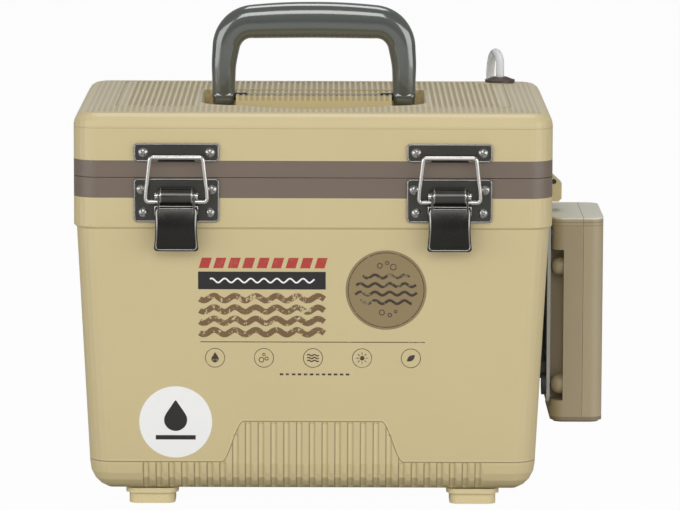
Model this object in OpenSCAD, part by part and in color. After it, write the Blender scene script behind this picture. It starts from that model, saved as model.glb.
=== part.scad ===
// Aerated bait bucket: an insulated box with a latched lid, a fold-down handle and a battery air pump.
// Millimetres. X to the right, Y to the back, Z up; the origin is on the floor under the middle of the box.

/* [Box] */
// Width across the rim
box_w = 298; // [270:1:330]
// Depth across the rim, front to back
box_d = 210; // [195:1:240]
// Height of the box from the feet to the parting line
box_h = 199.4; // [188:0.1:230]
// Radius of the upright corners
corner_r = 15; // [12:1:22]
// Slope of the walls below the rim, in degrees
wall_slope = 2.8; // [1.5:0.1:4]
// Radius where the walls turn into the floor
floor_r = 17; // [10:1:20]
// Height of the rim above the wall's step
rim_h = 32.4; // [29:0.1:40]
// How far the rim stands out from the wall
rim_step = 1.7; // [1:0.1:3]
// Height of the trim band on the box
band_h = 12.6; // [10:0.1:15]
// Thickness of the outer shell
shell_t = 2.5; // [2:0.1:3.5]
// Whole thickness of the insulated wall
wall_t = 20; // [17:0.5:26]
// Thickness of the tub's own wall
liner_t = 2.2; // [1.8:0.1:3]

/* [Flutes] */
// Distance from one flute to the next
flute_pitch = 8; // [7:0.5:10]
// Width of a flute
flute_w = 5; // [4:0.1:5.5]
// Depth of a flute
flute_depth = 0.9; // [0.5:0.1:1.2]
// Height of the outer flutes above the floor of the box
flute_h = 19; // [15:1:24]
// Height of the middle flutes above the floor of the box
flute_mid_h = 45; // [35:1:60]

/* [Feet] */
// Height of a foot
foot_h = 10; // [8:0.5:15]
// Width of a foot
foot_w = 29; // [22:1:36]
// Depth of a foot, front to back
foot_d = 27; // [20:1:32]
// Distance between the left and the right feet's middles
foot_span_x = 202; // [170:1:206]
// Distance between the front and the back feet's middles
foot_span_y = 137; // [110:1:140]

/* [Lid] */
// Height of the lid from the parting line to its top
lid_h = 41.2; // [38:0.1:50]
// Dark line left between lid and box
lid_gap = 0.4; // [0.3:0.1:0.8]
// Height of the trim band on the lid
lid_band_h = 10.4; // [9:0.1:11]
// Radius of the lid's top edge
lid_edge_r = 8; // [5:0.5:9]
// Width of the plain border round the ribbed panel, from the lid's side
border_w = 25; // [20:1:32]
// How much the border falls from the panel to the edge
border_fall = 1.4; // [0.8:0.1:2]
// Distance from one rib of the panel to the next
rib_pitch = 3.6; // [3:0.1:5]
// Depth of the grooves between the ribs
rib_depth = 0.5; // [0.3:0.1:0.8]
// How far the plug of the lid reaches into the tub
plug_h = 6; // [4:0.5:9]

/* [Handle recess] */
// Half the width of the recess
recess_half_w = 71; // [69:0.5:78]
// Depth of the recess below the lid's top
recess_depth = 12.5; // [11.5:0.5:14]
// Distance from the handle's pivot to the front edge of the recess, at its corners
recess_front = 70; // [66:1:72]
// Distance from the handle's pivot to the back edge of the recess
recess_back = 28; // [24:1:34]
// How far the middle of the front edge bows out for the fingers
recess_bow = 16; // [8:1:17]
// Width of the block between the handle's legs
block_w = 99.4; // [96:0.2:100]
// How far the block reaches in front of the pivot
block_front = 15; // [12:1:18]
// How far the block reaches behind the pivot
block_back = 20; // [12:1:22]

/* [Handle] */
// Height of the handle above its pivot, on its middle line
handle_reach = 49.6; // [48:0.2:53]
// Distance between the middle lines of the legs
handle_span = 115.4; // [115:0.2:118]
// Width of a leg
leg_w = 15; // [12:0.2:15.4]
// Height of the grip, across its middle
grip_w = 23; // [18:0.5:24]
// Thickness of the legs, front to back
leg_t = 13; // [10:0.5:13]
// Thickness of the grip, front to back
grip_t = 17; // [13:0.5:18]
// Depth of the pivot below the lid's top
pivot_depth = 1.8; // [1:0.1:2.2]
// Radius of the pivot pins
pivot_pin_r = 2.5; // [2:0.1:3]

/* [Latches] */
// Distance from the middle of the box to a latch
latch_x = 84.6; // [70:1:92]
// Width of the latch plates
plate_w = 53; // [48:0.2:60]
// Thickness of the latch plates
plate_t = 1.2; // [1:0.1:1.5]
// Height of the plate on the box
base_plate_h = 27.2; // [26.5:0.1:30]
// Height of the plate on the lid
strike_h = 11.4; // [10.5:0.1:12.5]
// Radius of the knuckle on the base plate
knuckle_r = 4.9; // [4.6:0.1:5.2]
// Length of the knuckle
knuckle_l = 19.8; // [16:0.1:20]
// Radius of the latch pin
latch_pin_r = 1.6; // [1.3:0.1:2]
// Radius of the bail's wire
wire_r = 1.4; // [1.1:0.1:1.5]
// Width of the bail across its wires' middles, at its foot
bail_w = 37.8; // [36:0.2:42]
// Width of the bail across its wires' middles, at its bar
bail_top_w = 32.6; // [30:0.2:35]
// Width of the lever's blade
lever_w = 26.8; // [25.6:0.2:28]
// Length of the lever below its pin
lever_l = 33.5; // [28:0.5:36]

/* [Hinges] */
// Distance from the middle of the box to a lid hinge
hinge_x = 62; // [50:1:75]
// Width of one hinge
hinge_w = 44; // [36:1:50]
// Radius of the hinge knuckles
hinge_r = 4.5; // [4:0.1:5]
// Radius of the hinge pins
hinge_pin_r = 2; // [1.5:0.1:2.5]

/* [Air pump] */
// Width of the pump, away from the box
pump_w = 33; // [32:0.5:38]
// Depth of the pump, front to back
pump_d = 79; // [76:1:84]
// Height of the pump
pump_h = 131.6; // [126:0.2:134]
// Height of the pump's underside above the floor
pump_z = 45; // [41:0.5:47]
// Radius of the pump's upright edges
pump_r = 8; // [6:0.5:10]
// Width of the pump's outer shell half
pump_front_w = 13; // [11:0.5:14]
// Thickness of the pump's walls
pump_t = 2; // [1.5:0.1:2.5]
// Thickness of the hanger plate behind the pump
hanger_t = 2; // [1.5:0.1:2]
// Height of the pump's top cap
cap_h = 5.4; // [4:0.2:8]
// Height of the pump's foot cap
foot_cap_h = 3.6; // [3:0.2:6]

/* [Air line] */
// Radius of the hose
hose_r = 2.7; // [2.2:0.1:3]
// Place of the grommet, from the middle to the right
grommet_x = 122; // [118:1:122]
// Place of the grommet, from the middle to the back
grommet_y = 80; // [74:1:80]
// Place where the hose comes out under the lid, from the middle to the right
hose_in_x = 120; // [118:1:122]
// Place where the hose comes out under the lid, from the middle to the back
hose_in_y = 74; // [70:1:75]
// Radius of the grommet's flange
grommet_r = 9.8; // [8:0.1:11]

/* [Hidden] */
$fn = 48;
// Segments on each corner of a lofted ring
ring_n = 6;
// Rest gap between soft or curved neighbours
ease = 0.3;
// Radial clearance of a pin that turns in its hole
run = 0.05;
// Overlap that fuses two forms of one piece
fuse = 0.4;
// Length by which a cut runs past the face it opens
past = 1;

// Heights
part_z = foot_h + box_h;
step_z = part_z - rim_h;
band_z = part_z - band_h;
lid_z = part_z + lid_gap;
lid_band_z = lid_z + lid_band_h;
top_z = lid_z + lid_h;
edge_z = top_z - border_fall;
liner_floor_z = foot_h + wall_t;

// How far the outer wall lies inside the rim at height z
function wall_in(z) = rim_step + max(0, step_z - z) * tan(wall_slope);
// Half the width and half the depth of the outer wall at height z
function half_w(z) = box_w / 2 - wall_in(z);
function half_d(z) = box_d / 2 - wall_in(z);

// Points of a rounded rectangle, anticlockwise
function ring(w, d, r) = [
    for (q = [0:3]) for (i = [0:ring_n])
        let (a = 90 * q + 90 * i / ring_n,
             cx = (q == 0 || q == 3 ? 1 : -1) * (w / 2 - r),
             cy = (q < 2 ? 1 : -1) * (d / 2 - r))
        [cx + r * cos(a), cy + r * sin(a)]
];

// A solid through rings that lie one above another; each ring is [inset, radius, height]
module loft(w, d, rings) {
    m = 4 * (ring_n + 1);
    last = len(rings) - 1;
    points = [
        for (s = rings) for (p = ring(w - 2 * s[0], d - 2 * s[0], s[1])) [p.x, p.y, s[2]]
    ];
    sides = [
        for (k = [0:last - 1]) for (i = [0:m - 1])
            let (a = k * m + i, b = k * m + (i + 1) % m)
            each [[a, a + m, b + m], [a, b + m, b]]
    ];
    polyhedron(
        points = points,
        faces = concat(
            [[for (i = [0:m - 1]) i]],
            sides,
            [[for (i = [m - 1:-1:0]) last * m + i]]
        ),
        convexity = 6
    );
}

// A flat rounded rectangle and its ring-shaped form
module plate2d(w, d, r) {
    square([w - 2 * r, d], center = true);
    square([w, d - 2 * r], center = true);
    for (x = [-1, 1], y = [-1, 1])
        translate([x * (w / 2 - r), y * (d / 2 - r)])
            circle(r = r);
}
module slab(w, d, r, z, h) {
    translate([0, 0, z])
        linear_extrude(h)
            plate2d(w, d, r);
}
module frame(w, d, r, t, z, h) {
    translate([0, 0, z])
        linear_extrude(h)
            difference() {
                plate2d(w, d, r);
                plate2d(w - 2 * t, d - 2 * t, max(r - t, 1));
            }
}

// A round bar along X or Y, by its middle
module bar_x(x, y, z, r, l) {
    translate([x, y, z])
        rotate([0, 90, 0])
            cylinder(r = r, h = l, center = true);
}
module bar_y(x, y, z, r, l) {
    translate([x, y, z])
        rotate([90, 0, 0])
            cylinder(r = r, h = l, center = true);
}

// A flat outline in the plane of Y and Z, drawn out along X
module across_x(x, l) {
    translate([x - l / 2, 0, 0])
        rotate([90, 0, 90])
            linear_extrude(l)
                children();
}
// A flat outline in the plane of X and Z, drawn out along Y, from y towards the back
module along_y(y, l) {
    translate([0, y + l, 0])
        rotate([90, 0, 0])
            linear_extrude(l)
                children();
}

// ---- Box ----
// Rings of the wall from the floor to a height, all moved inwards by t
function wall_rings(t, bottom, top) = concat(
    [for (a = [0:18:90])
        let (r = floor_r, z = bottom + r * (1 - cos(a)))
        [wall_in(foot_h + r) + t + r * (1 - sin(a)), max(corner_r - r * (1 - sin(a)) - t, 3), z]],
    [[wall_in(top) + t, max(corner_r - t, 3), top]]
);
module flute(x, side) {
    cut_r = (pow(flute_w / 2, 2) + pow(flute_depth, 2)) / (2 * flute_depth);
    out = cut_r - flute_depth;
    rise = smooth((foot_span_x / 2 - 44 - abs(x)) / 14);
    top = foot_h + flute_h + (flute_mid_h - flute_h) * rise - flute_w / 2;
    knee = foot_h + floor_r;
    bend = [for (a = [90, 60, 30])
        let (r = floor_r + out)
        [x, side * (half_d(knee) - floor_r + r * sin(a)), knee - r * cos(a)]];
    path = concat([[x, side * (half_d(top) + out), top]], bend);
    for (i = [0:len(path) - 2])
        hull()
            for (p = [path[i], path[i + 1]])
                translate(p)
                    rotate([0, 0, 15])
                        sphere(r = cut_r, $fn = 12);
}
// A step from 0 to 1 with round ends
function smooth(t) = let (c = min(max(t, 0), 1)) c * c * (3 - 2 * c);

module outer_shell() {
    count = floor((box_w - 2 * corner_r - 46) / flute_pitch);
    color([0.78, 0.73, 0.56])
    difference() {
        loft(box_w, box_d, concat(
            wall_rings(0, foot_h, step_z),
            [[0, corner_r, step_z + rim_step], [0, corner_r, band_z]]
        ));
        loft(box_w, box_d, concat(
            wall_rings(shell_t, foot_h + shell_t, step_z),
            [[rim_step + shell_t, corner_r - shell_t, band_z + past]]
        ));
        for (side = [-1, 1], i = [0:count - 1])
            flute((i - (count - 1) / 2) * flute_pitch, side);
    }
}

// The tub: its own wall lies wall_t inside the outer face
module tub_form(t, bottom, top) {
    mouth = wall_t - liner_t;
    sink = (part_z - bottom) * tan(wall_slope);
    tub_r = 12;
    loft(box_w, box_d, concat(
        [for (a = [0:30:90])
            [mouth + t + sink + tub_r * (1 - sin(a)), max(tub_r * sin(a), 3), bottom + tub_r * (1 - cos(a))]],
        [[mouth + t + (part_z - top) * tan(wall_slope), tub_r, top]]
    ));
}
module body_foam() {
    color([0.93, 0.9, 0.78])
    difference() {
        loft(box_w, box_d, concat(
            wall_rings(shell_t + ease, foot_h + shell_t + ease, step_z),
            [[rim_step + shell_t + ease, corner_r - shell_t - ease, band_z - ease]]
        ));
        tub_form(-ease, liner_floor_z - liner_t - ease, part_z);
    }
}
lip_w = 7;
lip_t = 2;
module inner_liner() {
    mouth = wall_t - liner_t;
    color([0.92, 0.91, 0.87])
    difference() {
        union() {
            tub_form(0, liner_floor_z - liner_t, part_z);
            slab(box_w - 2 * (mouth - lip_w), box_d - 2 * (mouth - lip_w), 15, part_z - lip_t, lip_t);
        }
        tub_form(liner_t, liner_floor_z, part_z + past);
    }
}
module base_trim_band() {
    mouth = wall_t - liner_t;
    seat = 2 * (mouth - lip_w - ease);
    color([0.52, 0.47, 0.42])
    difference() {
        frame(box_w, box_d, corner_r, mouth - ease, band_z, band_h);
        slab(box_w - seat, box_d - seat, 15, part_z - lip_t - 0.05, lip_t + past);
        frame(box_w - 2 * shell_t, box_d - 2 * shell_t, corner_r - shell_t, mouth - ease - 2 * shell_t,
            band_z - past, band_h - lip_t - 2.5 + past);
    }
}
module feet() {
    color([0.55, 0.51, 0.4])
    for (x = [-1, 1], y = [-1, 1])
        translate([x * foot_span_x / 2, y * foot_span_y / 2, 0]) {
            slab(foot_w, foot_d, 6, 0, foot_h);
            slab(foot_w + 4, foot_d + 4, 7, foot_h - 3, 3);
        }
}

// ---- Lid ----
recess_z = top_z - recess_depth;
pivot_z = top_z - pivot_depth;
module recess2d(grow) {
    back = recess_back + grow;
    front = recess_front + grow;
    half = recess_half_w + grow;
    bow_half = recess_half_w - 22;
    bow_r = (pow(bow_half, 2) + pow(recess_bow, 2)) / (2 * recess_bow);
    hull() {
        for (x = [-1, 1]) {
            translate([x * (half - 22), 22 - front])
                circle(r = 22, $fn = 48);
            translate([x * (half - 4), back - 4])
                circle(r = 4, $fn = 32);
        }
    }
    intersection() {
        translate([0, bow_r - recess_front - recess_bow])
            circle(r = bow_r + grow, $fn = 160);
        translate([-bow_half - 6, -recess_front - recess_bow - grow])
            square([2 * bow_half + 12, recess_front]);
    }
}
// Rings of the lid's outside or, moved inwards by t, of its inside
function lid_rings(t, bottom) = concat(
    [[t, corner_r - t, bottom]],
    [for (a = [0:22.5:90])
        let (r = lid_edge_r)
        [t + r * (1 - cos(a)), max(corner_r - t - r * (1 - cos(a)), 3), edge_z - t - r * (1 - sin(a))]],
    [[border_w + t, 6, top_z - t]]
);
module grooves() {
    half = box_w / 2 - border_w - 6;
    count = floor(half / rib_pitch);
    front = box_d / 2 - border_w - 6;
    cut = rib_pitch * 0.42;
    patch = grommet_r + 5;
    for (i = [-count:count])
        let (x = i * rib_pitch,
             near = abs(x - grommet_x) < patch,
             inside = abs(x) < recess_half_w + 4)
        for (s = inside ? [[-front, -recess_front - recess_bow - 3], [recess_back + 3, front]]
                        : [[-front, near ? grommet_y - patch : front]])
            if (s[1] - s[0] > 4)
                hull()
                    for (y = s)
                        translate([x, y, top_z - rib_depth])
                            rotate([0, 0, 45])
                                cylinder(r = cut, h = rib_depth + past, $fn = 4);
}
module panel_line() {
    translate([0, 0, top_z - 0.7])
        linear_extrude(0.7 + past)
            difference() {
                plate2d(box_w - 2 * border_w, box_d - 2 * border_w, 8);
                plate2d(box_w - 2 * border_w - 2.4, box_d - 2 * border_w - 2.4, 7);
                recess2d(2.5);
                translate([grommet_x, grommet_y])
                    circle(r = grommet_r + 4);
            }
}
module block2d(inset) {
    translate([-block_w / 2 + inset, -block_front + inset])
        square([block_w - 2 * inset, block_front + block_back - 2 * inset]);
}
module lid_shell() {
    color([0.7, 0.68, 0.55])
    difference() {
        loft(box_w, box_d, lid_rings(0, lid_band_z));
        difference() {
            loft(box_w, box_d, lid_rings(shell_t, lid_band_z - past));
            translate([0, 0, recess_z - shell_t])
                linear_extrude(recess_depth)
                    difference() {
                        recess2d(shell_t);
                        block2d(shell_t);
                    }
            translate([0, 0, top_z - shell_t - fuse])
                linear_extrude(shell_t)
                    block2d(0);
        }
        translate([0, 0, recess_z])
            linear_extrude(recess_depth + past)
                difference() {
                    recess2d(0);
                    block2d(0);
                }
        // Ribs on the block's top
        for (i = [-13:13])
            hull()
                for (y = [3 - block_front, block_back - 3])
                    translate([i * rib_pitch, y, top_z - rib_depth])
                        rotate([0, 0, 45])
                            cylinder(r = rib_pitch * 0.42, h = past, $fn = 4);
        grooves();
        panel_line();
        bar_x(0, 0, pivot_z, pivot_pin_r + ease, block_w + 2);
        translate([grommet_x, grommet_y, top_z - 3 * shell_t])
            cylinder(r = grommet_r - 2.4, h = 4 * shell_t);
    }
}
module lid_foam() {
    color([0.93, 0.9, 0.78])
    difference() {
        loft(box_w, box_d, lid_rings(shell_t + ease + 0.4, lid_z + 3.2));
        translate([0, 0, recess_z - shell_t - ease])
            linear_extrude(recess_depth + 2 * shell_t)
                recess2d(shell_t + ease);
        translate([grommet_x, grommet_y, lid_z])
            cylinder(r = grommet_r, h = lid_h);
    }
}
module lid_trim_band() {
    color([0.52, 0.47, 0.42])
    frame(box_w, box_d, corner_r, 3, lid_z, lid_band_h);
}
seal_in = 9;
seal_w = 5;
module seal(grow, z, h) {
    frame(box_w - 2 * (seal_in - grow), box_d - 2 * (seal_in - grow), 12, seal_w + 2 * grow, z, h);
}
module lid_inner_panel() {
    plate = 3 + ease;
    plug = wall_t + 2;
    tray = plug + liner_t;
    color([0.92, 0.91, 0.87])
    difference() {
        union() {
            slab(box_w - 2 * plate, box_d - 2 * plate, corner_r - plate, lid_z, 2.8);
            slab(box_w - 2 * plug, box_d - 2 * plug, 10, lid_z - plug_h, plug_h + 2.8);
        }
        slab(box_w - 2 * tray, box_d - 2 * tray, 8, lid_z - plug_h + liner_t, plug_h + 2.8);
        seal(0.1, lid_z - past, past + 1.4);
        translate([hose_in_x, hose_in_y, lid_z - plug_h - past])
            cylinder(r = hose_r + 1.5, h = plug_h + 2 * past + 3);
    }
}
module lid_gasket() {
    color([0.2, 0.2, 0.2])
    seal(0, part_z + 0.1, lid_gap - 0.1 + 1.35);
}

// ---- Hinges ----
hinge_y = box_d / 2 + hinge_r + 0.5;
hinge_z = part_z + lid_gap / 2;
lid_knuckle = 0.4;
leaf_t = 2.4;
leaf_h = 17;
module knuckle(x, l, up) {
    difference() {
        union() {
            bar_x(x, hinge_y, hinge_z, hinge_r, l);
            translate([x - l / 2, box_d / 2 + 0.1, up > 0 ? hinge_z : hinge_z - hinge_r])
                cube([l, hinge_y - box_d / 2 - 0.1, hinge_r]);
        }
        bar_x(x, hinge_y, hinge_z, hinge_pin_r + run, l + 2);
    }
}
module base_hinge_leaves() {
    side = hinge_w * (1 - lid_knuckle) / 2 - ease;
    color([0.5, 0.45, 0.4])
    for (s = [-1, 1])
        translate([s * hinge_x, 0, 0]) {
            for (k = [-1, 1])
                knuckle(k * (hinge_w - side) / 2, side, -1);
            difference() {
                translate([-hinge_w / 2, box_d / 2 + 0.1, hinge_z - hinge_r - leaf_h])
                    cube([hinge_w, leaf_t, leaf_h + 1]);
                bar_x(0, hinge_y, hinge_z, hinge_r + ease, hinge_w * lid_knuckle + 2 * ease);
            }
        }
}
module lid_hinge_leaves() {
    color([0.5, 0.45, 0.4])
    for (s = [-1, 1])
        translate([s * hinge_x, 0, 0]) {
            knuckle(0, hinge_w * lid_knuckle - ease, 1);
            difference() {
                translate([-hinge_w / 2, box_d / 2 + 0.1, hinge_z + hinge_r - 1])
                    cube([hinge_w, leaf_t, leaf_h]);
                for (k = [-1, 1])
                    bar_x(k * hinge_w * (1 + lid_knuckle) / 4, hinge_y, hinge_z, hinge_r + ease,
                        hinge_w * (1 - lid_knuckle) / 2 + ease);
            }
        }
}
module hinge_pins() {
    color([0.7, 0.7, 0.72])
    for (s = [-1, 1]) {
        bar_x(s * hinge_x, hinge_y, hinge_z, hinge_pin_r, hinge_w + 2);
        for (k = [-1, 1])
            bar_x(s * hinge_x + k * (hinge_w / 2 + 1), hinge_y, hinge_z, hinge_pin_r + 1, 1.2);
    }
}

// ---- Handle ----
// Middle line of the right half of the handle, from the pivot to the middle of the grip
function bail_point(t) =
    let (leg = 0.42, half = handle_span / 2, turn = 15)
    t < leg ? [half, pivot_z + (handle_reach - turn) * t / leg]
    : t < 0.72 ? let (a = 90 * (t - leg) / (0.72 - leg))
        [half - turn * (1 - cos(a)), pivot_z + handle_reach - turn * (1 - sin(a))]
    : [(half - turn) * (1 - (t - 0.72) / 0.28), pivot_z + handle_reach];
function signed_power(v, e) = sign(v) * pow(abs(v), e);
module carry_handle() {
    steps = 18;
    n = 14;
    ts = [for (i = [0:steps]) i / steps];
    right = [for (t = ts) [bail_point(t), t]];
    line = concat(
        [for (i = [0:steps]) right[i]],
        [for (i = [steps - 1:-1:0]) [[-right[i][0].x, right[i][0].y], right[i][1]]]
    );
    m = len(line);
    points = [
        for (i = [0:m - 1])
            let (a = line[max(i - 1, 0)][0],
                 b = line[min(i + 1, m - 1)][0],
                 along = (b - a) / norm(b - a),
                 side = [along.y, -along.x],
                 s = smooth((line[i][1] - 0.1) / 0.75),
                 w = (leg_w + (grip_w - leg_w) * s) / 2,
                 t = (leg_t + (grip_t - leg_t) * s) / 2)
            for (k = [0:n - 1])
                let (u = 360 * (k + 0.5) / n,
                     p = line[i][0] + side * w * signed_power(cos(u), 0.75))
                [p.x, t * signed_power(sin(u), 0.85), p.y]
    ];
    sides = [
        for (i = [0:m - 2]) for (k = [0:n - 1])
            let (a = i * n + k, b = i * n + (k + 1) % n)
            each [[a, a + n, b + n], [a, b + n, b]]
    ];
    color([0.37, 0.38, 0.36])
    difference() {
        union() {
            polyhedron(
                points = points,
                faces = concat([[for (k = [0:n - 1]) k]], sides,
                    [[for (k = [n - 1:-1:0]) (m - 1) * n + k]]),
                convexity = 6
            );
            for (s = [-1, 1])
                translate([s * handle_span / 2, 0, pivot_z])
                    rotate([0, 90, 0])
                        rotate_extrude()
                            leg_end2d();
        }
        for (s = [-1, 1])
            bar_x(s * handle_span / 2, 0, pivot_z, pivot_pin_r + run, leg_w + 4);
    }
}
// Half outline of the round end of a leg
module leg_end2d() {
    r = leg_t / 2;
    half = leg_w / 2 - 0.6;
    round = 2.5;
    square([r - round, half]);
    translate([0, -half])
        square([r - round, half]);
    translate([0, round - half])
        square([r, 2 * (half - round)]);
    for (y = [-1, 1])
        translate([r - round, y * (half - round)])
            circle(r = round, $fn = 32);
}
module handle_pivot_pins() {
    inner = block_w / 2 - 7;
    outer = handle_span / 2 + leg_w / 2 - 1.5;
    color([0.7, 0.7, 0.72])
    for (s = [-1, 1])
        bar_x(s * (inner + outer) / 2, 0, pivot_z, pivot_pin_r, outer - inner);
}

// ---- Latches ----
face_y = -box_d / 2;
pin_y = face_y - plate_t - knuckle_r + 0.3;
pin_z = part_z - 10.7;
bail_y = pin_y + 0.9;
bail_z = pin_z - 3.7;
hook_out = 3.2;
hook_y = face_y - plate_t - 0.8;
hook_z = lid_band_z + 2.6;
bar_y0 = hook_y - hook_out - ease - wire_r;
bar_z = hook_z;
base_screws = [[-22, 5.4], [22, 5.4], [-20.6, -9], [20.6, -9]];
strike_screw_x = 20.7;
plate_z = part_z - 0.3 - base_plate_h;
strike_z = lid_band_z - 0.6;
module wall_plate(w, h, r, z) {
    translate([0, face_y, z + h / 2])
        rotate([90, 0, 0])
            linear_extrude(plate_t)
                plate2d(w, h, r);
}
module latch_plate(side) {
    color([0.3, 0.3, 0.29])
    translate([side * latch_x, 0, 0])
        difference() {
            union() {
                wall_plate(plate_w, base_plate_h, 2.5, plate_z);
                bar_x(0, pin_y, pin_z, knuckle_r, knuckle_l);
            }
            bar_x(0, pin_y, pin_z, latch_pin_r + run, knuckle_l + 2);
            for (s = base_screws)
                bar_y(s[0], face_y, pin_z - 1.9 + s[1], 1.6, 4 * plate_t);
        }
}
module latch_plate_left() { latch_plate(-1); }
module latch_plate_right() { latch_plate(1); }

module latch_pin(side) {
    head = lever_w / 2 - 0.6;
    color([0.75, 0.75, 0.76])
    translate([side * latch_x, 0, 0]) {
        bar_x(0, pin_y, pin_z, latch_pin_r, 2 * head);
        for (s = [-1, 1])
            bar_x(s * head, pin_y, pin_z, latch_pin_r + 0.6, 1);
    }
}
module latch_pin_left() { latch_pin(-1); }
module latch_pin_right() { latch_pin(1); }

cheek_t = 1.2;
cheek_x = knuckle_l / 2 + 0.5 + cheek_t / 2;
blade_r = 36;
// Section of the blade: a sheet that bows outwards and ends in a rolled edge
module blade2d() {
    cy = pin_y - 3.4 + blade_r;
    cz = pin_z - (lever_l + 6) / 2;
    tip = [cy - sqrt(pow(blade_r - plate_t / 2, 2) - pow(lever_l / 2 - 3, 2)), pin_z - lever_l + 1.6];
    intersection() {
        translate([cy, cz])
            difference() {
                circle(r = blade_r, $fn = 96);
                circle(r = blade_r - plate_t, $fn = 96);
            }
        translate([pin_y - 12, pin_z - lever_l + 1.6])
            square([14, lever_l - 1.6 - 6.2]);
    }
    translate([tip.x - 1.1, tip.y])
        circle(r = 1.6, $fn = 24);
}
module cheek2d() {
    hull() {
        translate([pin_y, pin_z])
            circle(r = 3.4, $fn = 32);
        translate([bail_y, bail_z])
            circle(r = 2.6, $fn = 32);
        translate([pin_y - 1.2, pin_z - lever_l + 12])
            circle(r = 1.2, $fn = 24);
    }
}
module lever(side) {
    color([0.27, 0.27, 0.26])
    translate([side * latch_x, 0, 0])
        difference() {
            union() {
                difference() {
                    across_x(0, lever_w)
                        blade2d();
                    for (s = [-1, 1])
                        bar_y(s * (lever_w / 2 + 59.2), pin_y, pin_z - lever_l / 2 - 3, 60, 20);
                }
                for (s = [-1, 1])
                    across_x(s * cheek_x, cheek_t)
                        cheek2d();
            }
            bar_x(0, pin_y, pin_z, latch_pin_r + run, lever_w + 2);
            bar_x(0, bail_y, bail_z, wire_r + run, lever_w + 2);
        }
}
module lever_left() { lever(-1); }
module lever_right() { lever(1); }

// Corners of a path, each rounded off over the length r
function unit(v) = v / norm(v);
function bent(p, r) = [
    p[0],
    for (i = [1:len(p) - 2])
        let (a = p[i] + r * unit(p[i - 1] - p[i]), b = p[i] + r * unit(p[i + 1] - p[i]))
        for (t = [0:0.25:1])
            (1 - t) * (1 - t) * a + 2 * t * (1 - t) * p[i] + t * t * b,
    p[len(p) - 1]
];
module bail(side) {
    foot = bail_w / 2;
    head = bail_top_w / 2;
    neck = bail_z + 4.6;
    knee_y = bail_y + (bar_y0 - bail_y) * (neck - bail_z) / (bar_z - bail_z);
    end = knuckle_l / 2 + ease;
    half = [
        [foot - 0.6, bail_y, bail_z],
        [foot, knee_y, neck],
        [head, bar_y0, bar_z]
    ];
    other = [for (i = [len(half) - 1:-1:0]) [-half[i].x, half[i].y, half[i].z]];
    color([0.4, 0.4, 0.39])
    translate([side * latch_x, 0, 0]) {
        tube(bent(concat(half, other), 2.4), wire_r - 0.1, 8);
        for (s = [-1, 1])
            bar_x(s * (foot + 0.8 + end) / 2, bail_y, bail_z, wire_r, foot + 0.8 - end);
    }
}
module bail_left() { bail(-1); }
module bail_right() { bail(1); }

module hook2d() {
    translate([hook_y, hook_z])
        difference() {
            circle(r = hook_out);
            circle(r = hook_out - plate_t);
            translate([-2 * hook_out, 0])
                square([4 * hook_out, 2 * hook_out]);
            translate([0.8, -2 * hook_out])
                square([2 * hook_out, 4 * hook_out]);
        }
}
module strike(side) {
    tab = 24;
    color([0.3, 0.3, 0.29])
    translate([side * latch_x, 0, 0])
        difference() {
            union() {
                wall_plate(plate_w, strike_h, 2.5, strike_z);
                across_x(0, tab)
                    hook2d();
            }
            for (s = [-1, 1])
                bar_y(s * strike_screw_x, face_y, strike_z + strike_h / 2, 1.6, 4 * plate_t);
        }
}
module strike_left() { strike(-1); }
module strike_right() { strike(1); }

// A pan head screw in a plate on the front wall
module plate_screw(x, z) {
    translate([x, face_y - plate_t, z])
        rotate([90, 0, 0])
            rotate_extrude()
                intersection() {
                    translate([0, -2.6])
                        circle(r = 4);
                    square([3.1, 1.4]);
                }
    bar_y(x, face_y - plate_t / 2, z, 1.4, plate_t);
}
module latch_screws() {
    color([0.78, 0.78, 0.78])
    for (side = [-1, 1], s = base_screws)
        plate_screw(side * latch_x + s[0], pin_z - 1.9 + s[1]);
}
module strike_screws() {
    color([0.78, 0.78, 0.78])
    for (side = [-1, 1], s = [-1, 1])
        plate_screw(side * latch_x + s * strike_screw_x, strike_z + strike_h / 2);
}

// ---- Pump hanger ----
side_x = box_w / 2;
hanger_x = side_x;
hanger_top = step_z - 4;
hanger_bottom = pump_z + 12;
stud_y = pump_d / 2 - 7.5;
stud_z = [pump_z + 23.8, pump_z + 99.7];
lug_x = 10;
lug_w = 14;
lug_pin_x = side_x + 5;
lug_pin_z = part_z - 13.6;
module pump_lug() {
    low = step_z + 5.8;
    high = lug_pin_z + 4.2;
    color([0.78, 0.73, 0.56])
    difference() {
        along_y(-lug_w / 2, lug_w)
            polygon([
                [side_x + 0.05, low], [side_x + lug_x - 2, low], [side_x + lug_x, low + 2],
                [side_x + lug_x, high - 5.5], [side_x + lug_x - 6, high], [side_x + 0.05, high]
            ]);
        bar_y(lug_pin_x, 0, lug_pin_z, 1.6, lug_w + 2);
    }
}
module pump_lug_pin() {
    color([0.2, 0.2, 0.2])
    bar_y(lug_pin_x, 0, lug_pin_z, 1.55, lug_w + 1.6);
}
module hanger_plate() {
    color([0.45, 0.45, 0.44])
    difference() {
        translate([hanger_x, 0, (hanger_top + hanger_bottom) / 2])
            rotate([90, 0, 90])
                linear_extrude(hanger_t)
                    plate2d(pump_d - 5, hanger_top - hanger_bottom, 6);
        translate([hanger_x, 0, (hanger_top + hanger_bottom) / 2])
            rotate([90, 0, 90])
                translate([0, 0, -past])
                    linear_extrude(hanger_t + 2 * past)
                        plate2d(pump_d - 42, hanger_top - hanger_bottom - 56, 6);
        for (y = [-1, 1], z = stud_z)
            bar_x(hanger_x, y * stud_y, z, 1.7 + run, 4 * hanger_t);
    }
}
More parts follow.
